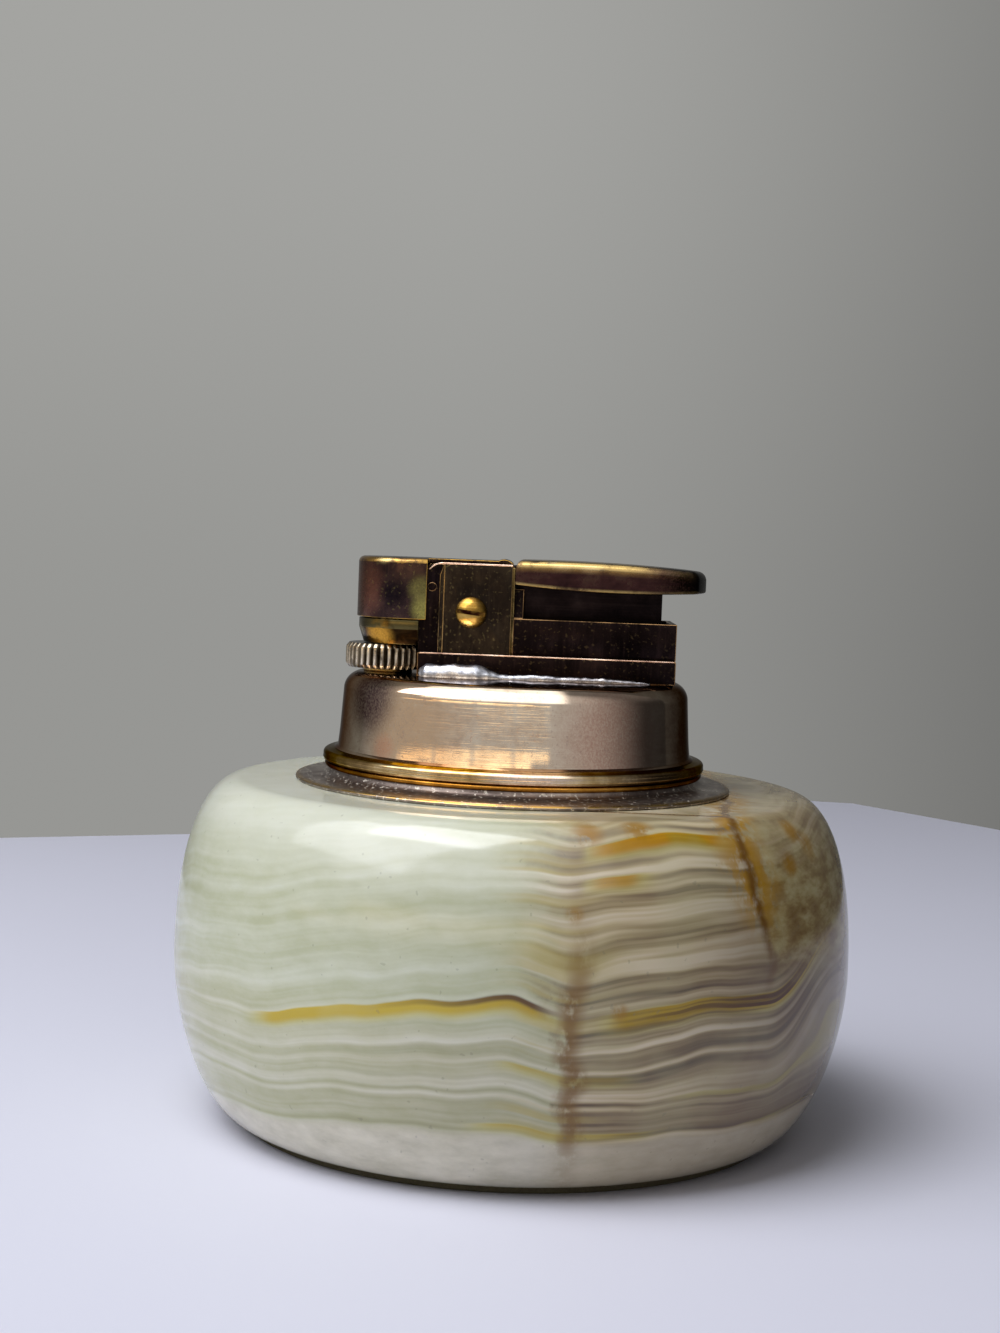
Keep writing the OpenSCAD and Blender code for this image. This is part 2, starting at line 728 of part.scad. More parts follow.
module valve_body() color("#a98643") {
    difference() {
        translate([-burner_off, 0, 0]) rotate_extrude() polygon([
            [0, valve_low], [valve_r, valve_low], [valve_r, collar_top], [valve_flange_r, collar_top],
            [valve_flange_r, wheel_z - fit], [neck_r, wheel_z - fit], [neck_r, cup_z - fit],
            [spigot_r, cup_z - fit], [spigot_r, cup_z + spigot_h], [0, cup_z + spigot_h]]);
        translate([-burner_off, 0, chamber_z]) difference() {
            cylinder(r = chamber_r, h = chamber_top - chamber_z);
            translate([0, 0, -eps]) cylinder(r = inlet_r, h = inlet_h);
        }
        translate([-burner_off, 0, chamber_top - eps]) cylinder(r = jet_r + fit, h = cup_z + 3 - chamber_top);
        translate([-burner_off, 0, valve_low - 1])
            cylinder(r = 0.35, h = chamber_z + inlet_h - valve_low + 2);
        translate([-burner_off, 0, valve_low - 1]) cylinder(r = feed_r + fit, h = feed_grip + 1);
    }
}

module valve_nut() color("#9c8146") {
    translate([-burner_off, 0, shoulder_z - 0.1 - nut_h]) difference() {
        cylinder(r = nut_r, h = nut_h, $fn = 6);
        translate([0, 0, -1]) cylinder(r = valve_r + play, h = 5);
    }
}

module burner_jet() color("#c9a24a") {
    low = chamber_z + inlet_h + seal_t;
    translate([-burner_off, 0, 0]) difference() {
        rotate_extrude() polygon([
            [0, low], [chamber_r - 0.1, low], [chamber_r - 0.1, low + jet_head], [jet_r, low + jet_head],
            [jet_r, jet_top - 0.4], [jet_r - 0.4, jet_top], [0, jet_top]]);
        translate([0, 0, jet_top - 3]) cylinder(r = jet_hole_r, h = 4, $fn = 24);
    }
}

module jet_seal() color("#2a2a2a") {
    translate([-burner_off, 0, chamber_z + inlet_h]) cylinder(r = inlet_r, h = seal_t);
}

module jet_spring() color("#8c8f92") {
    translate([-burner_off, 0, chamber_z]) coil(jet_coil_r, jet_wire_r, inlet_h + seal_t, jet_turns);
}

module adjuster_wheel() color("#a9a08a") {
    pitch = 360 / knurls;
    difference() {
        intersection() {
            translate([-burner_off, 0, wheel_z]) linear_extrude(wheel_h) polygon([
                for (i = [0:knurls - 1])
                    for (p = [[wheel_r, -0.14], [wheel_r, 0.14], [wheel_r - knurl_depth, 0.5]])
                        [p[0] * cos(pitch * (i + p[1])), p[0] * sin(pitch * (i + p[1]))]]);
            translate([-burner_off, 0, wheel_z]) rotate_extrude() polygon([
                [0, 0], [wheel_r - wheel_lip, 0], [wheel_r, wheel_lip], [wheel_r, wheel_h - wheel_lip],
                [wheel_r - wheel_lip, wheel_h], [0, wheel_h]]);
        }
        translate([-burner_off, 0, wheel_z - 1]) cylinder(r = neck_r + fit, h = wheel_h + 2);
    }
}

module feed_tube() color("#d8d2c0") {
    low = tank_floor_z + floor_t + feed_gap;
    translate([-burner_off, 0, low]) difference() {
        cylinder(r = feed_r, h = valve_low + feed_grip - low);
        translate([0, 0, -1]) cylinder(r = feed_bore_r, h = valve_low - low + 5);
    }
}

module filler_body() color("#b08d45") {
    low = tank_floor_z - filler_flange_t;
    translate([filler_x, 0, 0]) difference() {
        rotate_extrude() polygon([
            [0, low], [filler_flange_r, low], [filler_flange_r, tank_floor_z], [filler_r, tank_floor_z],
            [filler_r, tank_floor_z + filler_len], [0, tank_floor_z + filler_len]]);
        translate([0, 0, low - 1]) cylinder(r = stem_r + fit, h = 4);
        translate([0, 0, stem_seat_z]) cylinder(r = stem_collar_r + 0.2, h = filler_len - 2.4);
        translate([0, 0, tank_floor_z]) cylinder(r = 0.7, h = filler_len + 1);
    }
}

module filler_stem() color("#caa95a") {
    translate([filler_x, 0, 0]) rotate_extrude() polygon([
        [0, tank_floor_z - filler_flange_t + 0.3], [stem_r, tank_floor_z - filler_flange_t + 0.3],
        [stem_r, stem_seat_z + stem_step], [stem_collar_r, stem_seat_z + stem_step],
        [stem_collar_r, stem_seat_z + stem_collar_h], [0, stem_seat_z + stem_collar_h]]);
}

module filler_seal() color("#2a2a2a") {
    translate([filler_x, 0, stem_seat_z]) difference() {
        cylinder(r = stem_collar_r + 0.1, h = filler_seal_h);
        translate([0, 0, -1]) cylinder(r = stem_r + fit, h = 3);
    }
}

module filler_spring() color("#8c8f92") {
    low = stem_seat_z + stem_collar_h;
    translate([filler_x, 0, low])
        coil(filler_coil_r, filler_wire_r, tank_floor_z + filler_len - filler_roof - low, filler_turns);
}

onyx_base();
base_pad();
seat_cup();
fuel_tank();
tank_bottom();
grip_ring();
foot_plate();
solder_seam();
frame_block();
mechanism_frame();
front_side_plate();
rear_side_plate();
axle_screw();
axle_nut();
lever_pin();
hood_pin();
thumb_lever();
lever_frame();
lever_spring();
pawl();
spark_wheel();
ratchet_wheel();
flint_tube();
flint();
flint_spring();
flint_screw();
snuffer_hood();
hood_seal();
burner_cup();
valve_body();
valve_nut();
burner_jet();
jet_seal();
jet_spring();
adjuster_wheel();
feed_tube();
filler_body();
filler_stem();
filler_spring();
filler_seal();
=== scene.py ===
"""Looks of a table lighter with an onyx base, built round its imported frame. Metres, +Z up."""
import math
from functools import partialmethod

import bmesh
import bpy
from bpy.props import FloatProperty, FloatVectorProperty, IntProperty, PointerProperty
from mathutils import Matrix, Vector


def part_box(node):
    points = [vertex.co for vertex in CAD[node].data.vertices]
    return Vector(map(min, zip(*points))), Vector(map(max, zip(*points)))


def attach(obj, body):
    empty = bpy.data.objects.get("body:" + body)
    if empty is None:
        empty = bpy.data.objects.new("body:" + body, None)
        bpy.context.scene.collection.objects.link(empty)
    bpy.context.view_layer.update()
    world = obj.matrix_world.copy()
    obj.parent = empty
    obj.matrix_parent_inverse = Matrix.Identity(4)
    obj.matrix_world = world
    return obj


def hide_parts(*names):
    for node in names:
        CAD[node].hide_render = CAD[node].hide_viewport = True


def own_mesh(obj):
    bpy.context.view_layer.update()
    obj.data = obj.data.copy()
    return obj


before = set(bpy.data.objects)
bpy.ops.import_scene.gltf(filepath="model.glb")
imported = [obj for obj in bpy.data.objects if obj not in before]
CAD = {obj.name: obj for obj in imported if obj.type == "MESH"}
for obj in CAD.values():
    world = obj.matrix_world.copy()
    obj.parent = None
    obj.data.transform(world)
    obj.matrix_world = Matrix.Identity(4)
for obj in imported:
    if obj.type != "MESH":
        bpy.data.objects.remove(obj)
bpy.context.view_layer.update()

bl_info = {
    "name": "Onyx table lighter",
    "version": (1, 0, 0),
    "blender": (4, 5, 0),
    "location": "3D View > Sidebar > Table lighter",
    "description": "Builds the pieces, finishes and stage of a gas table lighter on an onyx base",
    "category": "Add Mesh",
}

MM = 0.001


def corners(node):
    """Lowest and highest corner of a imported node, in millimetres."""
    low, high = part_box(node)
    return low / MM, high / MM


STONE_LOW, STONE_HIGH = corners("onyx_base")
CUP_LOW, CUP_HIGH = corners("seat_cup")
TANK_LOW, TANK_HIGH = corners("fuel_tank")
FOOT_LOW, FOOT_HIGH = corners("foot_plate")
WHEEL_LOW, WHEEL_HIGH = corners("adjuster_wheel")
SCREW_LOW, SCREW_HIGH = corners("axle_screw")
LEVER_LOW, LEVER_HIGH = corners("thumb_lever")
WHEEL_X = (WHEEL_LOW.x + WHEEL_HIGH.x) / 2
WELL_X = (CUP_LOW.x + CUP_HIGH.x) / 2
WELL = (WELL_X * MM, 0, 0)
AXLE = Vector(((SCREW_LOW.x + SCREW_HIGH.x) / 2, 0, (SCREW_LOW.z + SCREW_HIGH.z) / 2))
# A turned form's axis laid along Y
ALONG_Y = (math.pi / 2, 0, 0)
# Where the photo was taken from, in metres, and the camera's turns there, in degrees
CAMERA_PLACE = (0, -0.290, 0.0795)
CAMERA_TURNS = ((0.59, "Z"), (90 - 3.58, "X"), (2.24, "Z"))
# Outline of the table top, in metres; its far edge shows behind the lighter
TABLE_EDGE = ((-0.62, -0.9), (-0.62, -0.1), (-0.45, 0.08), (-0.28, 0.17), (-0.126, 0.23), (-0.083, 0.249),
              (-0.02, 0.285), (0.05, 0.345), (0.085, 0.374), (0.104, 0.371), (0.128, 0.337), (0.15, 0.305),
              (0.25, 0.2), (0.45, 0.02), (0.62, -0.2), (0.62, -0.9))
TABLE_THICK = 0.02


# Colour and nodes
RANGE = ("Value", "From Min", "From Max", "To Min", "To Max")
# Short names of the nodes used most: type, the inputs its values go to, its output, what is preset
KINDS = {
    "step": ("ShaderNodeMapRange", RANGE, 0, {"interpolation_type": "SMOOTHSTEP"}),
    "slope": ("ShaderNodeMapRange", RANGE, 0, {}),
    "noise": ("ShaderNodeTexNoise", ("Vector", "Scale", "Detail", "Roughness"), 0, {"Detail": 4, "Roughness": 0.55}),
    "stretch": ("ShaderNodeMapping", ("Vector", "Scale", "Location"), 0, {}),
    "distance": ("ShaderNodeVectorMath", (0, 1), 1, {"operation": "DISTANCE"}),
    "bump": ("ShaderNodeBump", ("Height", "Strength", "Distance"), 0, {}),
    "ramp": ("ShaderNodeValToRGB", (0,), 0, {}),
    "split": ("ShaderNodeSeparateXYZ", (0,), 0, {}),
    "join": ("ShaderNodeCombineXYZ", (0, 1, 2), 0, {}),
    "mix": ("ShaderNodeMix", (0, 6, 7), 2, {"data_type": "RGBA"}),
    "mix_numbers": ("ShaderNodeMix", (0, 2, 3), 0, {}),
}


def linear(code):
    """An sRGB hex colour as linear red, green, blue and alpha."""
    values = [int(code[i:i + 2], 16) / 255 for i in (1, 3, 5)]
    return [v / 12.92 if v <= 0.04045 else ((v + 0.055) / 1.055) ** 2.4 for v in values] + [1]


def add_node(tree, kind, *values, stops=(), **named):
    """Adds a node with its settings and links, and gives its output as a wire. kind is a short name, an
    operation in capitals or a node's type. Values go to its inputs in order; named ones are settings or
    inputs. An input takes a plain value, a colour code or the wire it is linked from."""
    if kind.isupper():
        kind, named["operation"] = "ShaderNodeMath", kind
    kind, order, output, preset = KINDS.get(kind, (kind, range(len(values)), 0, {}))
    node = tree.nodes.new(kind)
    inputs = {}
    for key, value in [*preset.items(), *zip(order, values), *named.items()]:
        if isinstance(key, str) and hasattr(node, key):
            setattr(node, key, value)
        else:
            inputs[key.replace("_", " ") if isinstance(key, str) else key] = value
    for key, value in inputs.items():
        if isinstance(value, Wire):
            tree.links.new(value.socket, node.inputs[key])
        else:
            node.inputs[key].default_value = linear(value) if str(value).startswith("#") else value
    if stops:
        elements = node.color_ramp.elements
        while len(elements) < len(stops):
            elements.new(0.5)
        for element, (place, tone) in zip(elements, stops):
            element.position = place
            element.color = linear(tone) if isinstance(tone, str) else (tone, tone, tone, 1)
    return Wire(node, output) if node.outputs else None


class Wire:
    """An output of a node. wire(kind, ...) adds a node that it feeds, and signs add sums: & gives the
    lower of two values, | the higher."""

    def __init__(self, node, output=0):
        self.node, self.socket = node, node.outputs[output]

    def __getitem__(self, output):
        """Another output of the same node."""
        return Wire(self.node, output)

    def __call__(self, kind, *values, **named):
        return add_node(self.socket.id_data, kind, self, *values, **named)

    __add__ = partialmethod(__call__, "ADD")
    __sub__ = partialmethod(__call__, "SUBTRACT")
    __mul__ = partialmethod(__call__, "MULTIPLY")
    __truediv__ = partialmethod(__call__, "DIVIDE")
    __and__ = partialmethod(__call__, "MINIMUM")
    __or__ = partialmethod(__call__, "MAXIMUM")
    __abs__ = partialmethod(__call__, "ABSOLUTE")


def blank_material(name):
    """A material without a shader, and object coordinates in millimetres, so that the scale of a noise is
    its cells per millimetre."""
    material = bpy.data.materials.new(name)
    material.use_nodes = True
    material.node_tree.nodes.clear()
    place = add_node(material.node_tree, "ShaderNodeTexCoord")["Object"]
    return material, place("stretch", [1 / MM] * 3)


def cover(material, **shader):
    """Gives a material its Principled shader."""
    add_node(material.node_tree, "ShaderNodeBsdfPrincipled", **shader)("ShaderNodeOutputMaterial")
    return material


# Finishes
# The stone's layers: height in millimetres and how milky each is
LAYERS = ((9.5, 0.6), (9.95, 0.05), (10.5, 0.25), (13.6, 0.35), (14.3, 0.8), (14.9, 0.15), (15.6, 0.75),
          (16.5, 0.8), (17.3, 0.3), (18.5, 0.35), (19, 0.8), (19.6, 0.25), (20.6, 0.2), (21.3, 0.95),
          (22.1, 0.5), (25.6, 0.25), (26.1, 0.85), (26.9, 0.25), (28.6, 0.3), (29.8, 0.8),
          (31, 0.35), (34, 0.4), (35.6, 0.8), (36.7, 0.3), (37.9, 0.5), (38.7, 0.75), (39.4, 0.3),
          (40.4, 0.95), (41.4, 0.35), (43, 0.6), (44.4, 0.35), (46.5, 0.7))
# No layer lies higher than this
LAYER_SPAN = 50
# Ochre stains along the layers: lowest and highest height, left and right end, strength
STAINS = ((24.4, 26.2, -33, 7.5, 1), (23.2, 25.4, 9, 46, 1), (17.5, 18.6, -3, 17, 0.75),
          (9.8, 10.7, -6, 20, 0.8), (9.6, 10.6, 27, 46, 0.4), (42, 43.7, 6, 28, 1),
          (38.1, 39.8, 6, 18, 0.9), (14.5, 15.3, 18, 46, 0.4))
# Rust spots: place and radius in millimetres, strength
SPOTS = (((34.5, -22.3, 43.6), 2.6, 0.8), ((34.2, -26.4, 39.8), 2.2, 0.7), ((37.5, -21, 42), 3, 0.6),
         ((8.5, -38.6, 43.8), 2.8, 1), ((14.5, -36.6, 44.6), 2.8, 0.8), ((7.3, -44, 35.6), 1.5, 0.6),
         ((13, -43.7, 24.3), 1.4, 0.7))
# Where the main fault runs, and the crack right of it, which leans
FAULT_X, CRACK_X, CRACK_LEAN = 7.9, 40.5, 0.3


def polished_onyx():
    """Banded onyx marble, a layered calcite, sawn and polished. It is translucent, so its pale green
    layers look soft and deep; ochre and rust stain its layers and the faults that cut them."""
    material, point = blank_material("polished_onyx")
    x, y, z = point("split")
    broad = point("noise", 0.05, 1)
    ripple = point("stretch", (1, 1, 0.3), (9, 4, 2))("noise", 0.11, 1, 0.4)
    bend = point("stretch", (0.2, 0.5, 1), (3, 1, 7))("noise", 0.13, 3)
    fault = x + bend("slope", 0.2, 0.8, -2.2, 2.2)
    frayed = fault + point("noise", 0.5, 3)("slope", 0.25, 0.75, -1.6, 1.6)
    # Height in the layers: tilted, most of all at half height, let down between the two faults and
    # turned up at the far right
    tilt = z("step", 10, 22, 0, 0.08) * z("step", 30, 42, 1, 0.4) + 0.045
    drop = fault("step", -0.5, 8.5, 0, 2.7) * x("step", 31, 41, 1, 0)
    drop = drop * z("step", 26, 38, 1, 0.2) * z("step", 6, 17, 0.4, 1)
    upturn = x("step", 32, 43, 0, 4.5) * z("step", 15, 25)
    layer = z - x * tilt + (y * 0.08 + 3.64) + drop - upturn
    layer = layer + broad("slope", 0.25, 0.75, -0.8, 0.8) + ripple("slope", 0.2, 0.8, -0.55, 0.55)
    # The striped side starts sharply at the foot and fades in over the upper half
    striped = frayed("step", z("step", 20, 31, 5.2, -1.5), 8.8)
    milky = (layer / LAYER_SPAN)("ramp", stops=[(height / LAYER_SPAN, value) for height, value in LAYERS])
    # Hair lines between the layers, drawn out along them
    lined = (x * 0.03)("join", y * 0.03, layer)
    coarse = lined("noise", 0.5, 2)
    fine = lined("noise", 1.25, 1.5)
    cloud = point("noise", 0.085, 3)
    wisp = point("stretch", (1, 1, 2.2))("noise", 0.22, 4, 0.6)
    plain = milky * z("step", 20, 30, 0.6, 0.32) + z("step", 20, 30, 0.27, 0.32)
    soft = plain + fine("slope", 0.2, 0.8, -0.13, 0.13) + wisp("slope", 0.2, 0.8, -0.14, 0.14)
    hard = fine("slope", 0.3, 0.7, -1, 1) * z("step", 10, 22, 0.2, 0.38) + milky
    hard = hard + coarse("slope", 0.3, 0.7, -0.15, 0.15)
    hard = z("step", 27, 32, 0, 0.2) * z("step", 36, 41, 1, 0) + hard
    pale = soft("ramp", stops=((0, "#a4a681"), (0.35, "#b6b999"), (0.65, "#c8cbb4"), (1, "#dadcd2")))
    dark = hard("ramp", stops=(
        (0, "#4c3d2e"), (0.22, "#806f57"), (0.48, "#a69a7c"), (0.75, "#c8bea7"), (1, "#dad4c6")))
    striping = striped * cloud("step", 0.3, 0.65, 0.7, 1)
    lower = z("step", 19, 25, 0.2, 0) * x("step", -34, -4)
    colour = (striping | lower)("mix", pale, dark)
    # Painted shade: the right side is darker and mauve-tinged, less so near the top
    mauve_shade = x("step", 12, 44) * cloud("step", 0.38, 0.62, 0.05, 0.4)
    shade = x("step", 16, 44, 0, 0.62) * z("step", 36, 44, 1, 0.3)
    # Painted light: the upper left is paler, as a broad reflection
    painted_sheen = z("step", 35, 45) * x("step", -25, 5, 0.5, 0.15)
    for share, tint in ((mauve_shade, "#80706b"), (shade, "#5e4f44"), (painted_sheen, "#dee0d4")):
        colour = share("mix", colour, tint)
    # Whiter, cloudy foot of the block
    foot = layer("step", 8.4, 9.9, 1, 0) * 0.9
    ash = wisp("ramp", stops=((0.3, "#c2c0b0"), (0.5, "#d2d0c2"), (0.7, "#dfddd0")))
    colour = foot("mix", colour, fault("step", -8, 22, 0, 0.55)("mix", ash, "#9f9892"))
    # The striped side is steeped in a brown tint, and the lower half of the other in a faint one
    steeped = x("step", -6, 14, 0, 0.5) | z("step", 18, 27, 0.22, 0)
    colour = steeped("mix", colour, "#f6e2b4", blend_type="MULTIPLY")
    # Ochre along the layers, yellow on the left, burnt brown in hair lines and at the upper edge
    patch = point("stretch", (1, 1, 0.3), (2, 8, 5))("noise", 0.12, 2)
    warm = 0
    for low, high, left, right, strength in STAINS:
        inside = layer("step", low - 0.9, low + 0.8) * layer("step", high - 0.2, high + 0.15, 1, 0)
        reach = x("step", left, left + 5) * x("step", right - 5, right, 1, 0)
        warm = inside * reach * strength | warm
    warm = warm * patch("step", 0.3, 0.5, 0.9, 1)
    ochre = x("step", -8, 10)("mix", "#bfa62e", coarse("mix", "#93720a", "#c2a41c"))
    ochre = (z("step", 36, 41) * patch("step", 0.4, 0.55))("mix", ochre, "#b8860a")
    ochre = warm("step", 0.3, 1)("mix", "#c4ba62", ochre)
    burnt = striped * x("step", 8, 34, 0.45, 1) * (fine("step", 0.42, 0.6, 1, 0.1) * z("step", 36, 40, 1, 0.25))
    edge = layer("step", 25.3, 25.8) * x("step", -20, 2, 0, 0.9) * x("step", 7, 9, 1, 0)
    colour = warm("mix", colour, (burnt | edge)("mix", ochre, "#4a2305"))
    # A yellow haze round the stains near the main fault
    haze = abs(fault - 5.5)("step", 1, 9, 1, 0) * coarse("step", 0.48, 0.62, 0, 0.5)
    colour = (haze * layer("step", 9.4, 10))("mix", colour, "#b3a04e")
    # Rust in the faults, in blots
    blots = point("stretch", (1, 1, 0.6), (4, 4, 1))("noise", 0.5, 4, 0.6)
    rust = abs(fault - FAULT_X)("step", 0.1, 2.3, 1, 0) * blots("step", 0.3, 0.5)
    rust = rust * (z("step", 5, 10, 0.2, 0.85) * z("step", 24, 36, 1, 0.15))
    crack = (z | 29) * CRACK_LEAN + x + bend("slope", 0.2, 0.8, -1.8, 1.8)
    line = abs(crack - CRACK_X)
    seam = line("step", 0.05, 1, 1, 0) * z("step", 22, 34) * blots("step", 0.3, 0.55, 0.5, 1)
    # The crack runs on to the left over the flat top
    across = abs(y + bend("slope", 0.2, 0.8, 26, 28))("step", 0.1, 0.8, 1, 0) * z("step", 44.4, 45.2)
    across = across * (crack("step", CRACK_X - 0.2, CRACK_X + 0.5, 1, 0) * x("step", 3, 12))
    halo = line("step", 0.3, 4.5, 0.9, 0) * blots("step", 0.38, 0.55) * z("step", 30, 37)
    beyond = crack("step", CRACK_X - 0.2, CRACK_X + 1) * z("step", 24, 31)
    clouded = wisp("ramp", stops=((0.3, "#74592f"), (0.45, "#8d7747"), (0.58, "#a89a6a"), (0.72, "#bab084")))
    for share, tint in ((beyond * z("step", 38, 45, 0.85, 0.4), clouded), (halo, "#a87c12"),
                        (rust * 0.95, "#765000"), ((seam | across) * 0.9, "#684410")):
        colour = share("mix", colour, tint)
    for centre, radius, strength in SPOTS:
        spot = point("distance", centre)("step", radius * 0.2, radius, strength, 0) * blots("step", 0.34, 0.5)
        colour = spot("mix", colour, "#9a6e08")
    pitted = point("noise", 1.1, 1)("step", 0.73, 0.77, 0, 0.25)
    return cover(material, Base_Color=pitted("mix", colour, "#6b6c5c"), Roughness=0.13, IOR=1.55,
                 Subsurface_Weight=0.22, Subsurface_Scale=2.2 * MM, Subsurface_Radius=(1, 0.9, 0.65),
                 Normal=point("noise", 0.1, 2)("bump", 0.1, 0.15 * MM))


def pressed_felt():
    """Wool felt, pressed and glued on: dull, with short fibres of about 0.3 mm."""
    material, point = blank_material("pressed_felt")
    fibre = point("noise", 3, 4, 0.7)
    return cover(material, Base_Color=fibre("mix", "#3c3826", "#6d664a"), Roughness=0.95,
                 Normal=fibre("bump", 0.8, 0.2 * MM))


def moulded(name, low, high, rough):
    """A moulded plastic or rubber, faintly mottled."""
    material, point = blank_material(name)
    return cover(material, Base_Color=point("noise", 1.5, 3)("mix", low, high), Roughness=rough)


def metal(name, tones, roughness, grain=(1, 1, 1), grain_scale=0.35, scratch=0.12, pits=0, worn=None,
          stretch=(0.12, 0.12, 5), patch_scale=0.12, deep=None, marks=(), rim="#ffffff", streak=0.35):
    """A tarnished metal: patches of oxide at a few millimetres, drawn scratches, and edges rubbed bright.
    tones are dark, middle and light oxide; worn is the bare metal that shows on a piece's eased edges;
    deep is the colour in its pits. marks are places with a colour of their own or with a painted highlight,
    reflection or shade: centre and radius in millimetres, colour, strength."""
    material, point = blank_material(name)
    patch = point("noise", patch_scale, 4, 0.6)
    small = point("stretch", grain)("noise", grain_scale, 5, 0.65)
    lines = point("stretch", stretch)("noise", 1, 3, 0.6)
    blend = small * 0.45 + patch * 0.55
    colour = blend("ramp", stops=tuple(zip((0.36, 0.5, 0.64), tones)))
    colour = lines("step", 0.5, 0.75, 0, streak)("mix", colour, tones[2])
    speckle = point("stretch", (1, 1, 0.8))("noise", 4, 4, 0.75) if marks else None
    for centre, radius, tone, strength in marks:
        share = point("distance", centre)("step", radius * 0.3, radius, strength, 0)
        colour = (share * speckle("step", 0.36, 0.62, 0.6, 1))("mix", colour, tone)
    rough = blend("slope", 0.35, 0.65, roughness[1], roughness[0])
    if pits:
        spotted = point("noise", 2.2, 2, 0.5)("step", 0.6, 0.7, 0, pits)
        colour = spotted("mix", colour, deep or tones[0])
        rough = rough + spotted * 0.25
    if worn:
        edge = add_node(material.node_tree, "ShaderNodeAttribute", attribute_name="worn_edge")["Fac"]
        rubbed = edge * small("step", 0.36, 0.56, 0.15, 1)
        colour = rubbed("mix", colour, worn)
        rough = rubbed("mix_numbers", rough, 0.2)
    return cover(material, Metallic=1, Specular_Tint=rim, Base_Color=colour, Roughness=rough,
                 Normal=(lines * 0.7 + small * 0.5)("bump", scratch, 0.04 * MM))


FINISHES = {}


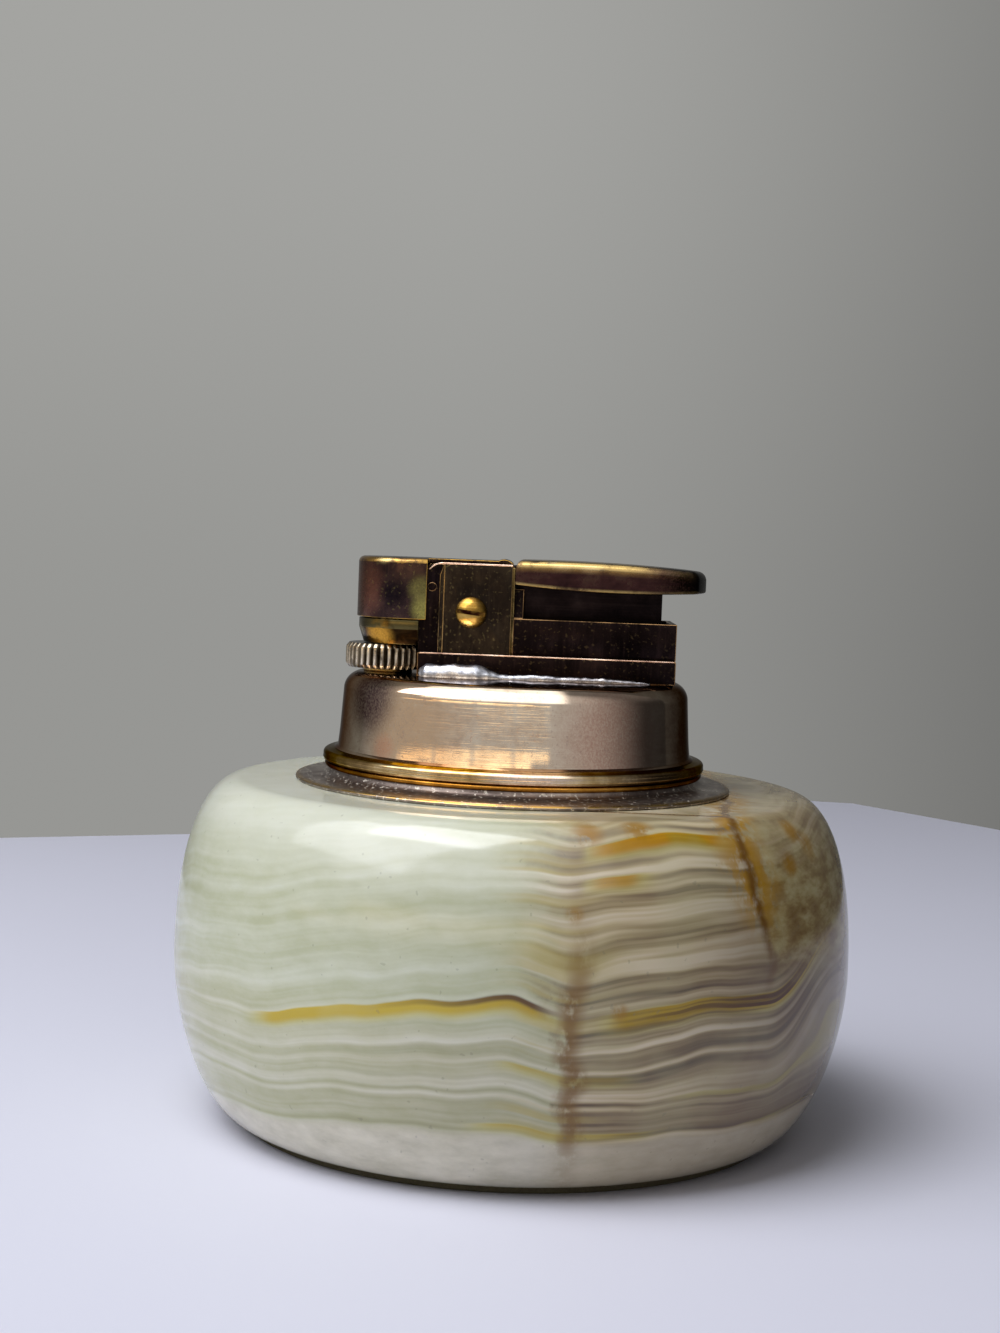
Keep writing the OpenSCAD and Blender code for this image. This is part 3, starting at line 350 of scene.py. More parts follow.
def make_finishes():
    """All finishes, each made once."""
    FINISHES.update(
        onyx=polished_onyx(),
        felt=pressed_felt(),
        # Spun brass flange, never polished: grey-brown oxide with pale specks, rim rubbed to gold
        flange=metal("oxidised_spun_brass", ("#574d49", "#897d75", "#b6aa9e"), (0.26, 0.45), pits=0.9,
                     worn="#b8934a", deep="#e0dacd"),
        # Copper-plated brass, handled for years: rose and purple-brown oxide over a gloss; its marks paint both
        # flanks darker as shade, the right one most
        collar=metal("tarnished_copper_plate", ("#b09a88", "#dcc9b2", "#f2e4ce"), (0.045, 0.1), scratch=0.16,
                     streak=0.6, patch_scale=0.06, pits=0.35, deep="#a58a80", rim="#94867e", marks=(
                         ((12.5, -20, 54), 11, "#be9a88", 1), ((-14, -18, 54), 10, "#dcbc98", 1),
                         ((26, -4, 54), 17, "#5a3d3a", 0.9), ((-26, -2, 55), 13, "#a07058", 0.9),
                         ((-19.5, -13.5, 57.8), 7, "#604a4c", 1), ((-17, -16.5, 51.3), 2.6, "#e0a988", 0.8))),
        # Rolled brass bead: olive-gold; its marks paint a pink-white highlight in front and darken both flanks as
        # painted shade
        bead=metal("rolled_brass_bead", ("#7d6340", "#bd9f6c", "#e8d2a4"), (0.08, 0.16), rim="#8a7c5e",
                   marks=(((20, -17, 49), 16, "#6a523c", 0.9), ((-24, -4, 49), 9, "#7a6244", 0.8),
                          ((2, -26, 49.8), 8, "#f6e2d6", 0.7))),
        # The cup's lip, brass with an orange lacquer left in its corner
        lip=metal("lacquered_cup_lip", ("#6b4518", "#a8742a", "#d09a48"), (0.16, 0.28), rim="#6f6650"),
        # Sheet brass gone dark purple-brown, bright only where it is rubbed
        dark=metal("darkened_sheet_brass", ("#0c0808", "#191212", "#2e2220"), (0.24, 0.42),
                   grain=(1, 1, 0.4), worn="#a8845a", stretch=(2.2, 2.2, 0.15), pits=0.2, deep="#6d5c3c"),
        # Side plates of the same sheet, browner, with olive specks
        plate=metal("browned_side_plate", ("#17120f", "#261f19", "#3c3226"), (0.28, 0.42), grain=(1, 1, 0.5),
                    worn="#b0905c", stretch=(2.2, 2.2, 0.15), pits=0.35, deep="#6e6240"),
        # Frame of the lever, blackened by soot: dull, nearly black
        soot=metal("soot_blackened_brass", ("#110d0d", "#1d1615", "#2e2522"), (0.4, 0.6)),
        # Ribs at the corner of the side plates: olive brass
        olive=metal("olive_sheet_brass", ("#2e2719", "#5a4b2c", "#8a7644"), (0.24, 0.4), worn="#d9b978"),
        # Bare edges of the sheets, rubbed by the fingers and polishing cloths: pinkish brass, pale also as a painted
        # highlight along the edges
        bare=metal("rubbed_sheet_edge", ("#7d6155", "#c3a28c", "#eed8c4"), (0.16, 0.3), grain_scale=0.6),
        # Brass under the thumb: rubbed to gold where the fingers pass, dark elsewhere; its marks paint a highlight on
        # the crown and painted shade over the tip
        lever=metal("thumb_worn_brass", ("#241618", "#3b2626", "#57453a"), (0.2, 0.36), worn="#b59a5e",
                    marks=(((28, -5, 76), 14, "#0a0605", 1.7), ((5, -6.6, 77.9), 3.6, "#e8dcb8", 1),
                           ((8.5, -6.6, 77.8), 3.6, "#e8dcb8", 1))),
        # Gilding brass of the hood: brown, streaked, with olive specks where the plating has gone; its marks paint
        # the reflections round its rounded end, red-brown on the left, near black at the corner and olive on the flat
        # front, and a highlight on the top edge
        hood=metal("hood_gilding_brass", ("#1f1719", "#3a2b28", "#5c4438"), (0.18, 0.34), pits=0.3,
                   worn="#cfa34b", stretch=(2.5, 2.5, 0.12), deep="#7c7444", marks=(
                       ((-23, -4, 71.5), 6, "#7c4c38", 0.9), ((-17.6, -7, 71), 2.8, "#130f14", 0.9),
                       ((-13, -7, 69), 2.6, "#a09850", 1), ((-13.6, -7, 71.6), 2.4, "#8a8248", 0.8),
                       ((-19, -6.4, 76.7), 2.2, "#f2dc98", 1))),
        # Turned brass with old lacquer, dark; its marks paint an amber reflection on its front and a cream highlight
        # at its left end
        amber=metal("amber_lacquered_brass", ("#0c0806", "#1c1209", "#3e2a12"), (0.18, 0.3), worn="#5c5232",
                    marks=(((-19.4, -5.2, 65.2), 3, "#d09a3c", 1), ((-22.8, -2.5, 65.9), 2, "#e8d9b4", 1))),
        # Nickel-plated brass, knurled: dark in the grooves, bright crests
        nickel=metal("knurled_nickel_plate", ("#332c25", "#625848", "#8c806c"), (0.16, 0.3), worn="#e6d6bc"),
        # Turned brass of the valves, clean because it is covered
        brass=metal("turned_brass", ("#8a6f3d", "#b0904f", "#cdb070"), (0.2, 0.32), worn="#dcc07c"),
        # Drawn steel of springs and gear: plain grey
        steel=metal("drawn_steel", ("#55585b", "#7c7f82", "#a3a6a8"), (0.22, 0.36)),
        # Soft solder, left as it set: lumpy, silvery, frosted in places
        solder=metal("tin_lead_solder", ("#74767f", "#b4b7bf", "#eceef2"), (0.2, 0.46), scratch=0.8,
                     grain_scale=1.6, patch_scale=0.5, pits=0.4, deep="#5b5760",
                     marks=(((12, -8, 60.5), 15, "#6a6464", 0.9), ((12, 8, 60.5), 15, "#6a6464", 0.9))),
        # A gilt screw, its slot painted dark as shade
        screw=metal("gilt_screw_brass", ("#5e431b", "#a07c35", "#d2b066"), (0.16, 0.28), worn="#2c0f0c"),
        # Flint alloy, cast: dark grey and dull
        flint=metal("cast_ferrocerium", ("#2f2f31", "#4a4a4d", "#68686b"), (0.4, 0.6)),
        # Moulded nitrile rubber of the seals: black, dull
        rubber=moulded("moulded_rubber", "#151515", "#262523", 0.6),
        # Extruded nylon of the dip tube: milky
        nylon=moulded("clear_nylon", "#c9c3b0", "#e0dbcb", 0.35),
    )


# Meshes
def in_scene(name, data):
    """A new object in the scene."""
    made = bpy.data.objects.new(name, data)
    bpy.context.scene.collection.objects.link(made)
    return made


def finish_mesh(mesh, finish):
    """Gives a mesh one finish for all its faces."""
    mesh.materials.clear()
    mesh.materials.append(FINISHES[finish])


def piece(name, mesh, finish, body, slot, *nodes):
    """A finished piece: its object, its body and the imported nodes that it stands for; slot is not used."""
    made = in_scene(name, mesh)
    finish_mesh(mesh, finish)
    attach(made, body)
    if nodes:
        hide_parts(*nodes)
    return made


def shaded(mesh, sharp):
    """A mesh shaded smooth up to an angle in degrees."""
    mesh.shade_smooth()
    mesh.set_sharp_from_angle(angle=math.radians(sharp))
    return mesh


def poured(form, mesh):
    """A mesh filled from an edited form, which is freed."""
    form.to_mesh(mesh)
    form.free()
    return mesh


def facing_out(mesh, sharp=32):
    """Merges doubles, turns faces outwards and shades smooth up to an angle."""
    form = bmesh.new()
    form.from_mesh(mesh)
    bmesh.ops.remove_doubles(form, verts=form.verts, dist=1e-7)
    bmesh.ops.recalc_face_normals(form, faces=form.faces)
    return shaded(poured(form, mesh), sharp)


def evaluated(made):
    """The mesh that an object's modifiers give."""
    bpy.context.view_layer.update()
    graph = bpy.context.evaluated_depsgraph_get()
    return bpy.data.meshes.new_from_object(made.evaluated_get(graph), depsgraph=graph)


def along(start, end, count):
    """Evenly spaced values from start to end."""
    return [start + (end - start) * i / count for i in range(count + 1)]


def limited(value, low=0, high=1):
    """A value held between two bounds."""
    return max(low, min(high, value))


def tree_with(name, **sockets):
    """A geometry node tree with a geometry input, the named inputs, each a kind and a default, and a
    geometry output. Gives the tree and its inputs."""
    tree = bpy.data.node_groups.new(name, "GeometryNodeTree")
    tree.interface.new_socket("Geometry", in_out="INPUT", socket_type="NodeSocketGeometry")
    for label, (kind, default) in {**sockets, "Material": ("Material", None)}.items():
        made = tree.interface.new_socket(label.replace("_", " "), in_out="INPUT", socket_type="NodeSocket" + kind)
        if default is not None:
            made.default_value = default
    tree.interface.new_socket("Geometry", in_out="OUTPUT", socket_type="NodeSocketGeometry")
    return tree, add_node(tree, "NodeGroupInput")


def end_tree(tree, given, geometry):
    """Realizes, sets the material and links the output."""
    whole = geometry("GeometryNodeRealizeInstances")
    whole("GeometryNodeSetMaterial", Material=given["Material"])("NodeGroupOutput")
    return tree


def turned_form_tree():
    """A profile turned round an axis, with teeth or knurls cut in its rim if there are any."""
    tree, given = tree_with(
        "Turned form", Segments=("Int", 96), Teeth=("Int", 0), Tooth_radius=("Float", 1), Tooth_depth=("Float", 0),
        Lean=("Float", 0), Land=("Float", 0.3), Turn=("Rotation", None), Centre=("Vector", None))
    count = given("GeometryNodeAttributeDomainSize")["Point Count"]
    grid = add_node(tree, "GeometryNodeMeshGrid", Vertices_X=given["Segments"] + 1, Vertices_Y=count)
    index = add_node(tree, "GeometryNodeInputIndex")
    column = ((index + 0.5) / count)("FLOOR")
    profile = given("GeometryNodeSampleIndex", Value=add_node(tree, "GeometryNodeInputPosition"),
                    Index=index - column * count, data_type="FLOAT_VECTOR")("split")
    share = column / given["Segments"]
    phase = (share * given["Teeth"])("FRACT")
    shape = given["Lean"]("mix_numbers", abs(phase * 2 - 1), phase)
    depth = shape("slope", given["Land"], 1, 0, given["Tooth depth"])
    radius = profile["X"] & (given["Tooth radius"] - depth)
    angle = share * math.tau
    placed = (radius * angle("COSINE"))("join", radius * angle("SINE"), profile["Z"])
    form = grid("GeometryNodeSetPosition", Position=placed)("GeometryNodeMergeByDistance", Distance=1e-7)
    return end_tree(tree, given, form(
        "GeometryNodeTransform", Translation=given["Centre"], Rotation=given["Turn"]))


def coil_tree():
    """A coil spring of round wire, standing on its centre."""
    tree, given = tree_with(
        "Coil spring", Turns=("Float", 6), Coil_radius=("Float", 0.002), Wire_radius=("Float", 0.0003),
        Free_length=("Float", 0.01), Centre=("Vector", None))
    line = add_node(tree, "GeometryNodeCurveSpiral", Resolution=28, Rotations=given["Turns"],
                    Start_Radius=given["Coil radius"], End_Radius=given["Coil radius"], Height=given["Free length"])
    wire = add_node(tree, "GeometryNodeCurvePrimitiveCircle", Resolution=10, Radius=given["Wire radius"])
    form = line("GeometryNodeCurveToMesh", Profile_Curve=wire, Fill_Caps=True)
    return end_tree(tree, given, form("GeometryNodeTransform", Translation=given["Centre"]))


def lumpy_bead_tree():
    """A bead run along a path, its width uneven as solder sets."""
    tree, given = tree_with(
        "Lumpy bead", Radius=("Float", 0.001), Unevenness=("Float", 0.0003), Lump_size=("Float", 900),
        Seed=("Float", 3))
    line = given("GeometryNodeMeshToCurve")("GeometryNodeResampleCurve", Length=0.25 * MM, mode="LENGTH")
    ring = add_node(tree, "GeometryNodeCurvePrimitiveCircle", Resolution=20, Radius=given["Radius"])
    girth = add_node(tree, "GeometryNodeInputNamedAttribute", Name="girth", data_type="FLOAT")
    form = line("GeometryNodeCurveToMesh", Profile_Curve=ring, Scale=girth, Fill_Caps=True)
    wave = add_node(tree, "ShaderNodeTexNoise", W=given["Seed"], Scale=given["Lump size"], Detail=3,
                    Roughness=0.6, noise_dimensions="4D")
    push = add_node(tree, "GeometryNodeInputNormal")(
        "ShaderNodeVectorMath", Scale=(wave - 0.5) * given["Unevenness"], operation="SCALE")
    return end_tree(tree, given, form("GeometryNodeSetPosition", Offset=push))


TREES = {}


def grown(name, tree_name, points, finish, sharp=32, girth=None, **inputs):
    """A plain mesh from a tree: the points make its starting line, the rest are the tree's named inputs."""
    start = bpy.data.meshes.new(name)
    start.from_pydata([Vector(p) * MM for p in points], [(i, i + 1) for i in range(len(points) - 1)], [])
    if girth:
        start.attributes.new("girth", "FLOAT", "POINT").data.foreach_set("value", girth)
    made = in_scene(name + "_start", start)
    modifier = made.modifiers.new("Nodes", "NODES")
    modifier.node_group = TREES[tree_name]
    sockets = {s.name: s.identifier for s in modifier.node_group.interface.items_tree if s.in_out == "INPUT"}
    for label, value in {"Material": FINISHES[finish], **inputs}.items():
        modifier[sockets[label.replace("_", " ")]] = value
    mesh = evaluated(made)
    mesh.name = name
    bpy.data.objects.remove(made)
    return facing_out(mesh, sharp)


def turned(name, profile, finish, **inputs):
    """A turned form from (radius, height) pairs in millimetres, closed on its axis or on itself."""
    return grown(name, "turned", [(r, 0, z) for r, z in profile], finish, **inputs)


def turned_piece(name, profile, finish, body, slot, *nodes, worn=None, **inputs):
    """A finished turned form, its worn_edge marked by a test."""
    mesh = turned(name, profile, finish, **inputs)
    if worn:
        mark_worn(mesh, worn)
    return piece(name, mesh, finish, body, slot, *nodes)


def eased_edges(form, worn, edges, width):
    """Bevels the edges of a form and marks the new faces worn."""
    made = bmesh.ops.bevel(form, geom=edges, offset=width * MM, segments=2, profile=0.5, affect="EDGES",
                           clamp_overlap=True)
    for face in made["faces"]:
        face[worn] = 1


def eased_piece(node, width, finish, body, slot, rubbed=None, angle=30, crisp=28):
    """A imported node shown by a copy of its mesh, merged, with its edges eased. Eased faces are marked
    worn_edge, and so is what rubbed picks by a face's middle, in millimetres, and its normal."""
    form = bmesh.new()
    form.from_mesh(CAD[node].data)
    bmesh.ops.remove_doubles(form, verts=form.verts, dist=2e-7)
    bmesh.ops.dissolve_limit(form, angle_limit=math.radians(0.8), verts=form.verts, edges=form.edges)
    worn = form.faces.layers.float.new("worn_edge")
    eased_edges(form, worn, [e for e in form.edges if len(e.link_faces) == 2
                             and e.calc_face_angle(0) > math.radians(angle)], width)
    if rubbed:
        for face in form.faces:
            face[worn] = max(face[worn], rubbed(face.calc_center_median() / MM, face.normal))
    name = "eased_" + node
    mesh = shaded(poured(form, bpy.data.meshes.new(name)), crisp)
    return piece(name, mesh, finish, body, slot, node)


def cut(mesh, tool):
    """mesh with the tool's form taken out of it."""
    pair = [in_scene("pair", m) for m in (mesh, tool)]
    modifier = pair[0].modifiers.new("Boolean", "BOOLEAN")
    modifier.object = pair[1]
    modifier.operation = "DIFFERENCE"
    modifier.solver = "EXACT"
    result = evaluated(pair[0])
    for made in pair:
        bpy.data.objects.remove(made)
    return result


def block(low, high, turn=0, ease=0):
    """A closed box between two corners in millimetres, turned about Y through its middle, with its edges
    eased and marked worn_edge if ease is given."""
    form = bmesh.new()
    bmesh.ops.create_cube(form, size=1)
    middle = (Vector(low) + Vector(high)) / 2
    span = Vector(high) - Vector(low)
    spin = Matrix.Rotation(math.radians(turn), 4, "Y")
    for vert in form.verts:
        vert.co = (middle + spin @ Vector([c * s for c, s in zip(vert.co, span)])) * MM
    if ease:
        eased_edges(form, form.faces.layers.float.new("worn_edge"), form.edges[:], ease)
    return poured(form, bpy.data.meshes.new("box"))


def ringed(name, rings):
    """A closed form from rings of equally many points in millimetres, the first and last covered. Each
    ring is symmetrical: its points run out along one side and back along the other."""
    count, last = len(rings[0]), len(rings) - 1
    faces = [(k * count + i, k * count + (i + 1) % count, (k + 1) * count + (i + 1) % count, (k + 1) * count + i)
             for k in range(last) for i in range(count)]
    faces += [(first + i, first + i + 1, first + count - 2 - i, first + count - 1 - i)
              for first in (0, last * count) for i in range(count // 2 - 1)]
    mesh = bpy.data.meshes.new(name)
    mesh.from_pydata([Vector(p) * MM for ring in rings for p in ring], [], faces)
    return facing_out(mesh, 30)


def mark_worn(mesh, test):
    """Sets worn_edge at each vertex from its place in millimetres and its normal."""
    values = [test(v.co / MM, v.normal) for v in mesh.vertices]
    old = mesh.attributes.get("worn_edge")
    if old:
        mesh.attributes.remove(old)
    mesh.attributes.new("worn_edge", "FLOAT", "POINT").data.foreach_set("value", values)


def round_corner(across, up, radius, start, end, count=8):
    """Points of a circular arc in a profile, angles in degrees."""
    return [(across + radius * math.cos(a), up + radius * math.sin(a))
            for a in along(math.radians(start), math.radians(end), count)]


# Settings
class StoneSettings(bpy.types.PropertyGroup):
    """Sizes of the stone, in millimetres."""
    foot_diameter: FloatProperty(name="Foot diameter", description="Diameter of the underside", default=73.6)
    girdle_diameter: FloatProperty(name="Girdle diameter", description="Greatest diameter",
                                   default=STONE_HIGH.x - STONE_LOW.x)
    top_diameter: FloatProperty(name="Top diameter", description="Diameter of the flat top", default=74.2)
    girdle_height: FloatProperty(name="Girdle height", description="Height of the girdle over the foot",
                                 default=21.4)
    foot_fullness: FloatProperty(name="Foot fullness", description="Power of the curve below", default=1.72)
    top_fullness: FloatProperty(name="Top fullness", description="Power of the curve above", default=2.24)


class HeadSettings(bpy.types.PropertyGroup):
    """Sizes of the metal parts, in millimetres."""
    edge_easing: FloatProperty(name="Edge easing", description="Width of a rubbed edge", default=0.09)
    lever_round: FloatProperty(name="Lever round", description="Radius of the lever's upper edge", default=1.15)
    knurls: IntProperty(name="Knurls", description="Knurls on the flame wheel", default=36)
    knurl_depth: FloatProperty(name="Knurl depth", description="Depth of a knurl", default=0.42)


class StageSettings(bpy.types.PropertyGroup):
    """Light, floor and camera."""
    table_colour: FloatVectorProperty(name="Table", description="Colour of the table top", subtype="COLOR",
                                      default=linear("#dcddea")[:3])
    wall_colour: FloatVectorProperty(name="Wall", description="Colour of the wall", subtype="COLOR",
                                     default=linear("#a4a4a1")[:3])
    lens: FloatProperty(name="Lens", description="Focal length of the camera, in millimetres", unit="CAMERA",
                        default=57.8)
    key_power: FloatProperty(name="Key power", description="Power of the key light, in watts", unit="POWER",
                             default=1.63)


# Operators
class LIGHTER_OT_stone_base(bpy.types.Operator):
    """Builds the onyx base and its felt pad"""
    bl_idname = "lighter.stone_base"
    bl_label = "Stone base"

    def execute(self, context):
        sizes = context.scene.lighter_stone
        low, high = STONE_LOW.z, STONE_HIGH.z
        girdle = low + sizes.girdle_height
        widest = sizes.girdle_diameter / 2

        def bulge(start, rise, power):
            """Radii and heights of a rounded quarter, from the flat end to the girdle."""
            return [(start + (widest - start) * math.sin(a) ** (2 / power), rise * (1 - math.cos(a) ** (2 / power)))
                    for a in along(0, math.pi / 2, 40)]

        lower = bulge(sizes.foot_diameter / 2, girdle - low, sizes.foot_fullness)
        upper = bulge(sizes.top_diameter / 2, high - girdle, sizes.top_fullness)
        profile = [(0, low)] + [(r, low + h) for r, h in lower]
        profile += [(r, high - h) for r, h in reversed(upper[:-1])] + [(0, high)]
        solid = turned("onyx_stone", profile, "onyx", Segments=200)
        well, floor, chamfer = 25.35, CUP_LOW.z - 0.05, 0.8
        hole = [(0, floor), (well, floor), (well, high - 0.3), (well + chamfer, high + 0.5), (0, high + 0.5)]
        drill = turned("well", hole, "onyx", Segments=120, Centre=WELL)
        piece("onyx_stone", facing_out(cut(solid, drill)), "onyx", "base", "onyx", "onyx_base")
        top = corners("base_pad")[1]
        pad = [(0, 0), (top.x - 0.2, 0), (top.x, 0.2), (top.x, top.z - 0.1), (top.x - 0.1, top.z), (0, top.z)]
        turned_piece("felt_pad", pad, "felt", "base", "felt", "base_pad", Segments=128)
        return {"FINISHED"}


class LIGHTER_OT_seat_flange(bpy.types.Operator):
    """Builds the spun flange and cup that the burner unit stands in"""
    bl_idname = "lighter.seat_flange"
    bl_label = "Seat flange"

    def execute(self, context):
        low, lip, top = CUP_LOW.z, CUP_HIGH.z, STONE_HIGH.z
        rim = CUP_HIGH.x - WELL_X
        bore, wall, neck, roll, lip_roll = 24.6, 0.5, lip - 0.75, 0.28, 0.33
        out, floor = bore + wall, low + wall
        profile = [(0, low), (out - 0.6, low), (out, low + 0.6), (out, top), (rim - 0.25, top)]
        profile += round_corner(rim - roll, top + roll, roll, -90, 60, 6)
        profile += [(rim - 0.8, top + 0.68), (out + 1.6, top + 0.8), (out + 0.9, top + 0.9), (out + 0.35, top + 1.1),
                    (out - 0.02, top + 1.45), (out - 0.1, neck), (bore, neck), (bore, floor + 0.5),
                    (bore - 0.5, floor), (0, floor)]
        turned_piece("seat_flange", profile, "flange", "base", "flange_brass", "seat_cup", Segments=160, Centre=WELL,
                     worn=lambda p, n: float(p.z > top + 0.4 and math.hypot(p.x - WELL_X, p.y) > rim - 0.5))
        ring = [(bore, neck), (out - 0.1, neck), *round_corner(out + 0.1, lip - lip_roll, lip_roll, -80, 90),
                (bore + 0.2, lip - 0.01), (bore, lip - 0.2), (bore, neck)]
        turned_piece("cup_lip", ring, "lip", "base", "flange_brass", Segments=160, sharp=50, Centre=WELL)
        return {"FINISHED"}


class LIGHTER_OT_tank_collar(bpy.types.Operator):
    """Builds the drawn tank with its collar, the rolled bead, the grip ring and the solder"""
    bl_idname = "lighter.tank_collar"
    bl_label = "Tank and collar"

    def execute(self, context):
        floor, top = TANK_LOW.z, TANK_HIGH.z
        bead_r = TANK_HIGH.x - WELL_X
        bead_z, bead_t = CUP_HIGH.z + 0.05, 1.7
        tank_r, collar_r, neck_r, wall, shoulder = 23.9, 24, 23.3, 0.8, 2.4
        inner, lid = neck_r - wall, top - 1
        # The wall leans in by half a millimetre and sweeps out a little over the bead
        low_row, sweep = bead_z + bead_t, 3.2
        rows = list(zip(along(collar_r - 0.2, neck_r, 24), along(low_row, top - shoulder, 24)))[1:]
        profile = [(tank_r - wall, floor), (tank_r - 0.1, floor), (tank_r, floor + 0.1), (tank_r, bead_z + 0.1),
                   (collar_r + 0.32, low_row + 0.05)]
        profile += [(r + 0.011 * max(0, low_row + sweep - z) ** 2, z) for r, z in rows]
        profile += round_corner(neck_r - shoulder, top - shoulder, shoulder, 5, 90, 20)
        profile += [(0, top), (0, lid), (inner - shoulder, lid), (inner, top - shoulder - 0.5),
                    (inner, bead_z + 2), (tank_r - wall, bead_z), (tank_r - wall, floor)]
        turned_piece("collar_shell", profile, "collar", "burner_unit", "copper_collar", "fuel_tank",
                     Segments=192, Centre=WELL)
        ring = [(collar_r - 0.4, bead_z), *round_corner(bead_r - 0.5, bead_z + 0.5, 0.5, -90, 20, 6),
                *round_corner(bead_r - 0.55, bead_z + 0.98, 0.52, -10, 90), (bead_r - 1.1, bead_z + 1.58),
                (collar_r + 0.25, low_row), (collar_r - 0.4, low_row + 0.2), (collar_r - 0.4, bead_z)]
        turned_piece("rolled_bead", ring, "bead", "burner_unit", "copper_collar", Segments=192, sharp=50, Centre=WELL)
        eased_piece("tank_bottom", 0.06, "brass", "burner_unit", "plain_brass")
        eased_piece("grip_ring", 0.06, "rubber", "burner_unit", "rubber")
        # The solder is thick beside the hood, thin under the lever, and tapers at both ends
        left, right, thick = FOOT_LOW.x + 0.4, 17, 7.5
        for side, name, nodes in ((-1, "solder_front", ["solder_seam"]), (1, "solder_rear", [])):
            points, girth = [], []
            for x in along(left, right, 60):
                size = 1.3 - 0.85 * limited((x - left - thick) / 3)
                size *= min(1, 0.5 + (x - left) * 0.5, 0.25 + (right - x) * 0.2)
                points.append((x, side * (FOOT_HIGH.y + 0.3 * size), top + 0.3 * size))
                girth.append(size)
            mesh = grown("solder_seam", "bead", points, "solder", sharp=80, girth=girth, Radius=0.001,
                         Unevenness=0.0009, Lump_size=520.0, Seed=3.0 + side)
            piece(name, mesh, "solder", "burner_unit", "solder", *nodes)
        return {"FINISHED"}


class LIGHTER_OT_head_frame(bpy.types.Operator):
    """Eases the foot, the frame block, the mechanism frame, its side plates, screw, nut and pins"""
    bl_idname = "lighter.head_frame"
    bl_label = "Head frame"

    def execute(self, context):
        ease = context.scene.lighter_head.edge_easing
        for node, width, finish, slot in (
                ("foot_plate", ease * 1.2, "dark", "dark_brass"), ("frame_block", ease, "dark", "dark_brass"),
                ("mechanism_frame", ease, "dark", "dark_brass"), ("front_side_plate", ease, "plate", "dark_brass"),
                ("rear_side_plate", ease, "plate", "dark_brass"), ("axle_nut", 0.05, "screw", "bright_brass"),
                ("lever_pin", 0.05, "dark", "bright_brass"), ("hood_pin", 0.05, "dark", "bright_brass")):
            eased_piece(node, width, finish, "burner_unit", slot)
        face, tip = -SCREW_LOW.y, SCREW_HIGH.y
        head, shank = (SCREW_HIGH.z - SCREW_LOW.z) / 2, 1.1
        rim, crown, bulge = 0.35, 0.95, head * 1.25
        under = face - rim - crown
        dome = [(bulge * math.sin(a), face - bulge + bulge * math.cos(a))
                for a in along(math.asin(0.96 * head / bulge), 0, 9)]
        profile = [(0, -tip), (shank - 0.1, -tip), (shank, 0.1 - tip), (shank, under), (head - 0.1, under),
                   (head, under + 0.1), (head, dome[0][1] - 0.12), *dome]
        mesh = turned("slotted_screw", profile, "screw", Segments=72, Turn=ALONG_Y, Centre=AXLE * MM, sharp=40)
        half_slot, slot_floor = 0.28, 0.8 - face
        slot = block((AXLE.x - 3, -face - 1, AXLE.z - half_slot), (AXLE.x + 3, slot_floor, AXLE.z + half_slot),
                     turn=6)
        mesh = facing_out(cut(mesh, slot), 30)
        # The slot's walls and floor are painted dark as shade
        worn = mesh.attributes.new("worn_edge", "FLOAT", "FACE").data
        for side in mesh.polygons:
            middle = side.center / MM
            inside = abs(middle.z - AXLE.z) < 0.5 and abs(middle.x - AXLE.x) < head and middle.y < slot_floor + 0.2
            flat = abs(side.normal.z) > 0.97 or side.normal.y < -0.9999
            worn[side.index].value = float(inside and flat)
        piece("slotted_screw", mesh, "screw", "burner_unit", "bright_brass", "axle_screw")
        # Bare sheet edges along the foot and over the side plates, pale also as a painted edge highlight, and the
        # ribs at the plates' corner
        low, high = corners("front_side_plate")
        block_left = corners("frame_block")[0].x
        out = -low.y - 0.04
        for side, end in ((-1, "front"), (1, "rear")):
            foot = [(x, side * (FOOT_HIGH.y - 0.07), FOOT_HIGH.z - 0.05)
                    for x in along(FOOT_LOW.x + 0.3, FOOT_HIGH.x - 0.3, 40)]
            over = [(low.x - 1.45, side * (out - 0.55), high.z - 0.95),
                    (low.x - 0.6, side * (out - 0.4), high.z - 0.3),
                    *((x, side * out, high.z - 0.13) for x in along(low.x + 0.1, high.x - 0.05, 12))]
            for name, points, girth in (("foot_edge_", foot, 0.1), ("plate_edge_", over, 0.13)):
                mesh = grown(name + end, "bead", points, "bare", sharp=80, girth=[girth] * len(points),
                             Radius=0.001, Unevenness=0.00002, Lump_size=200.0, Seed=1.0)
                piece(name + end, mesh, "bare", "burner_unit", "dark_brass")
            near, far = sorted((side * (out - 0.2), side * (out - 1.05)))
            rib = block((high.x - 0.02, near, FOOT_HIGH.z + 0.05), (block_left + 0.03, far, high.z - 0.4), ease=0.06)
            piece("corner_rib_" + end, facing_out(rib, 30), "olive", "burner_unit", "dark_brass")
        return {"FINISHED"}


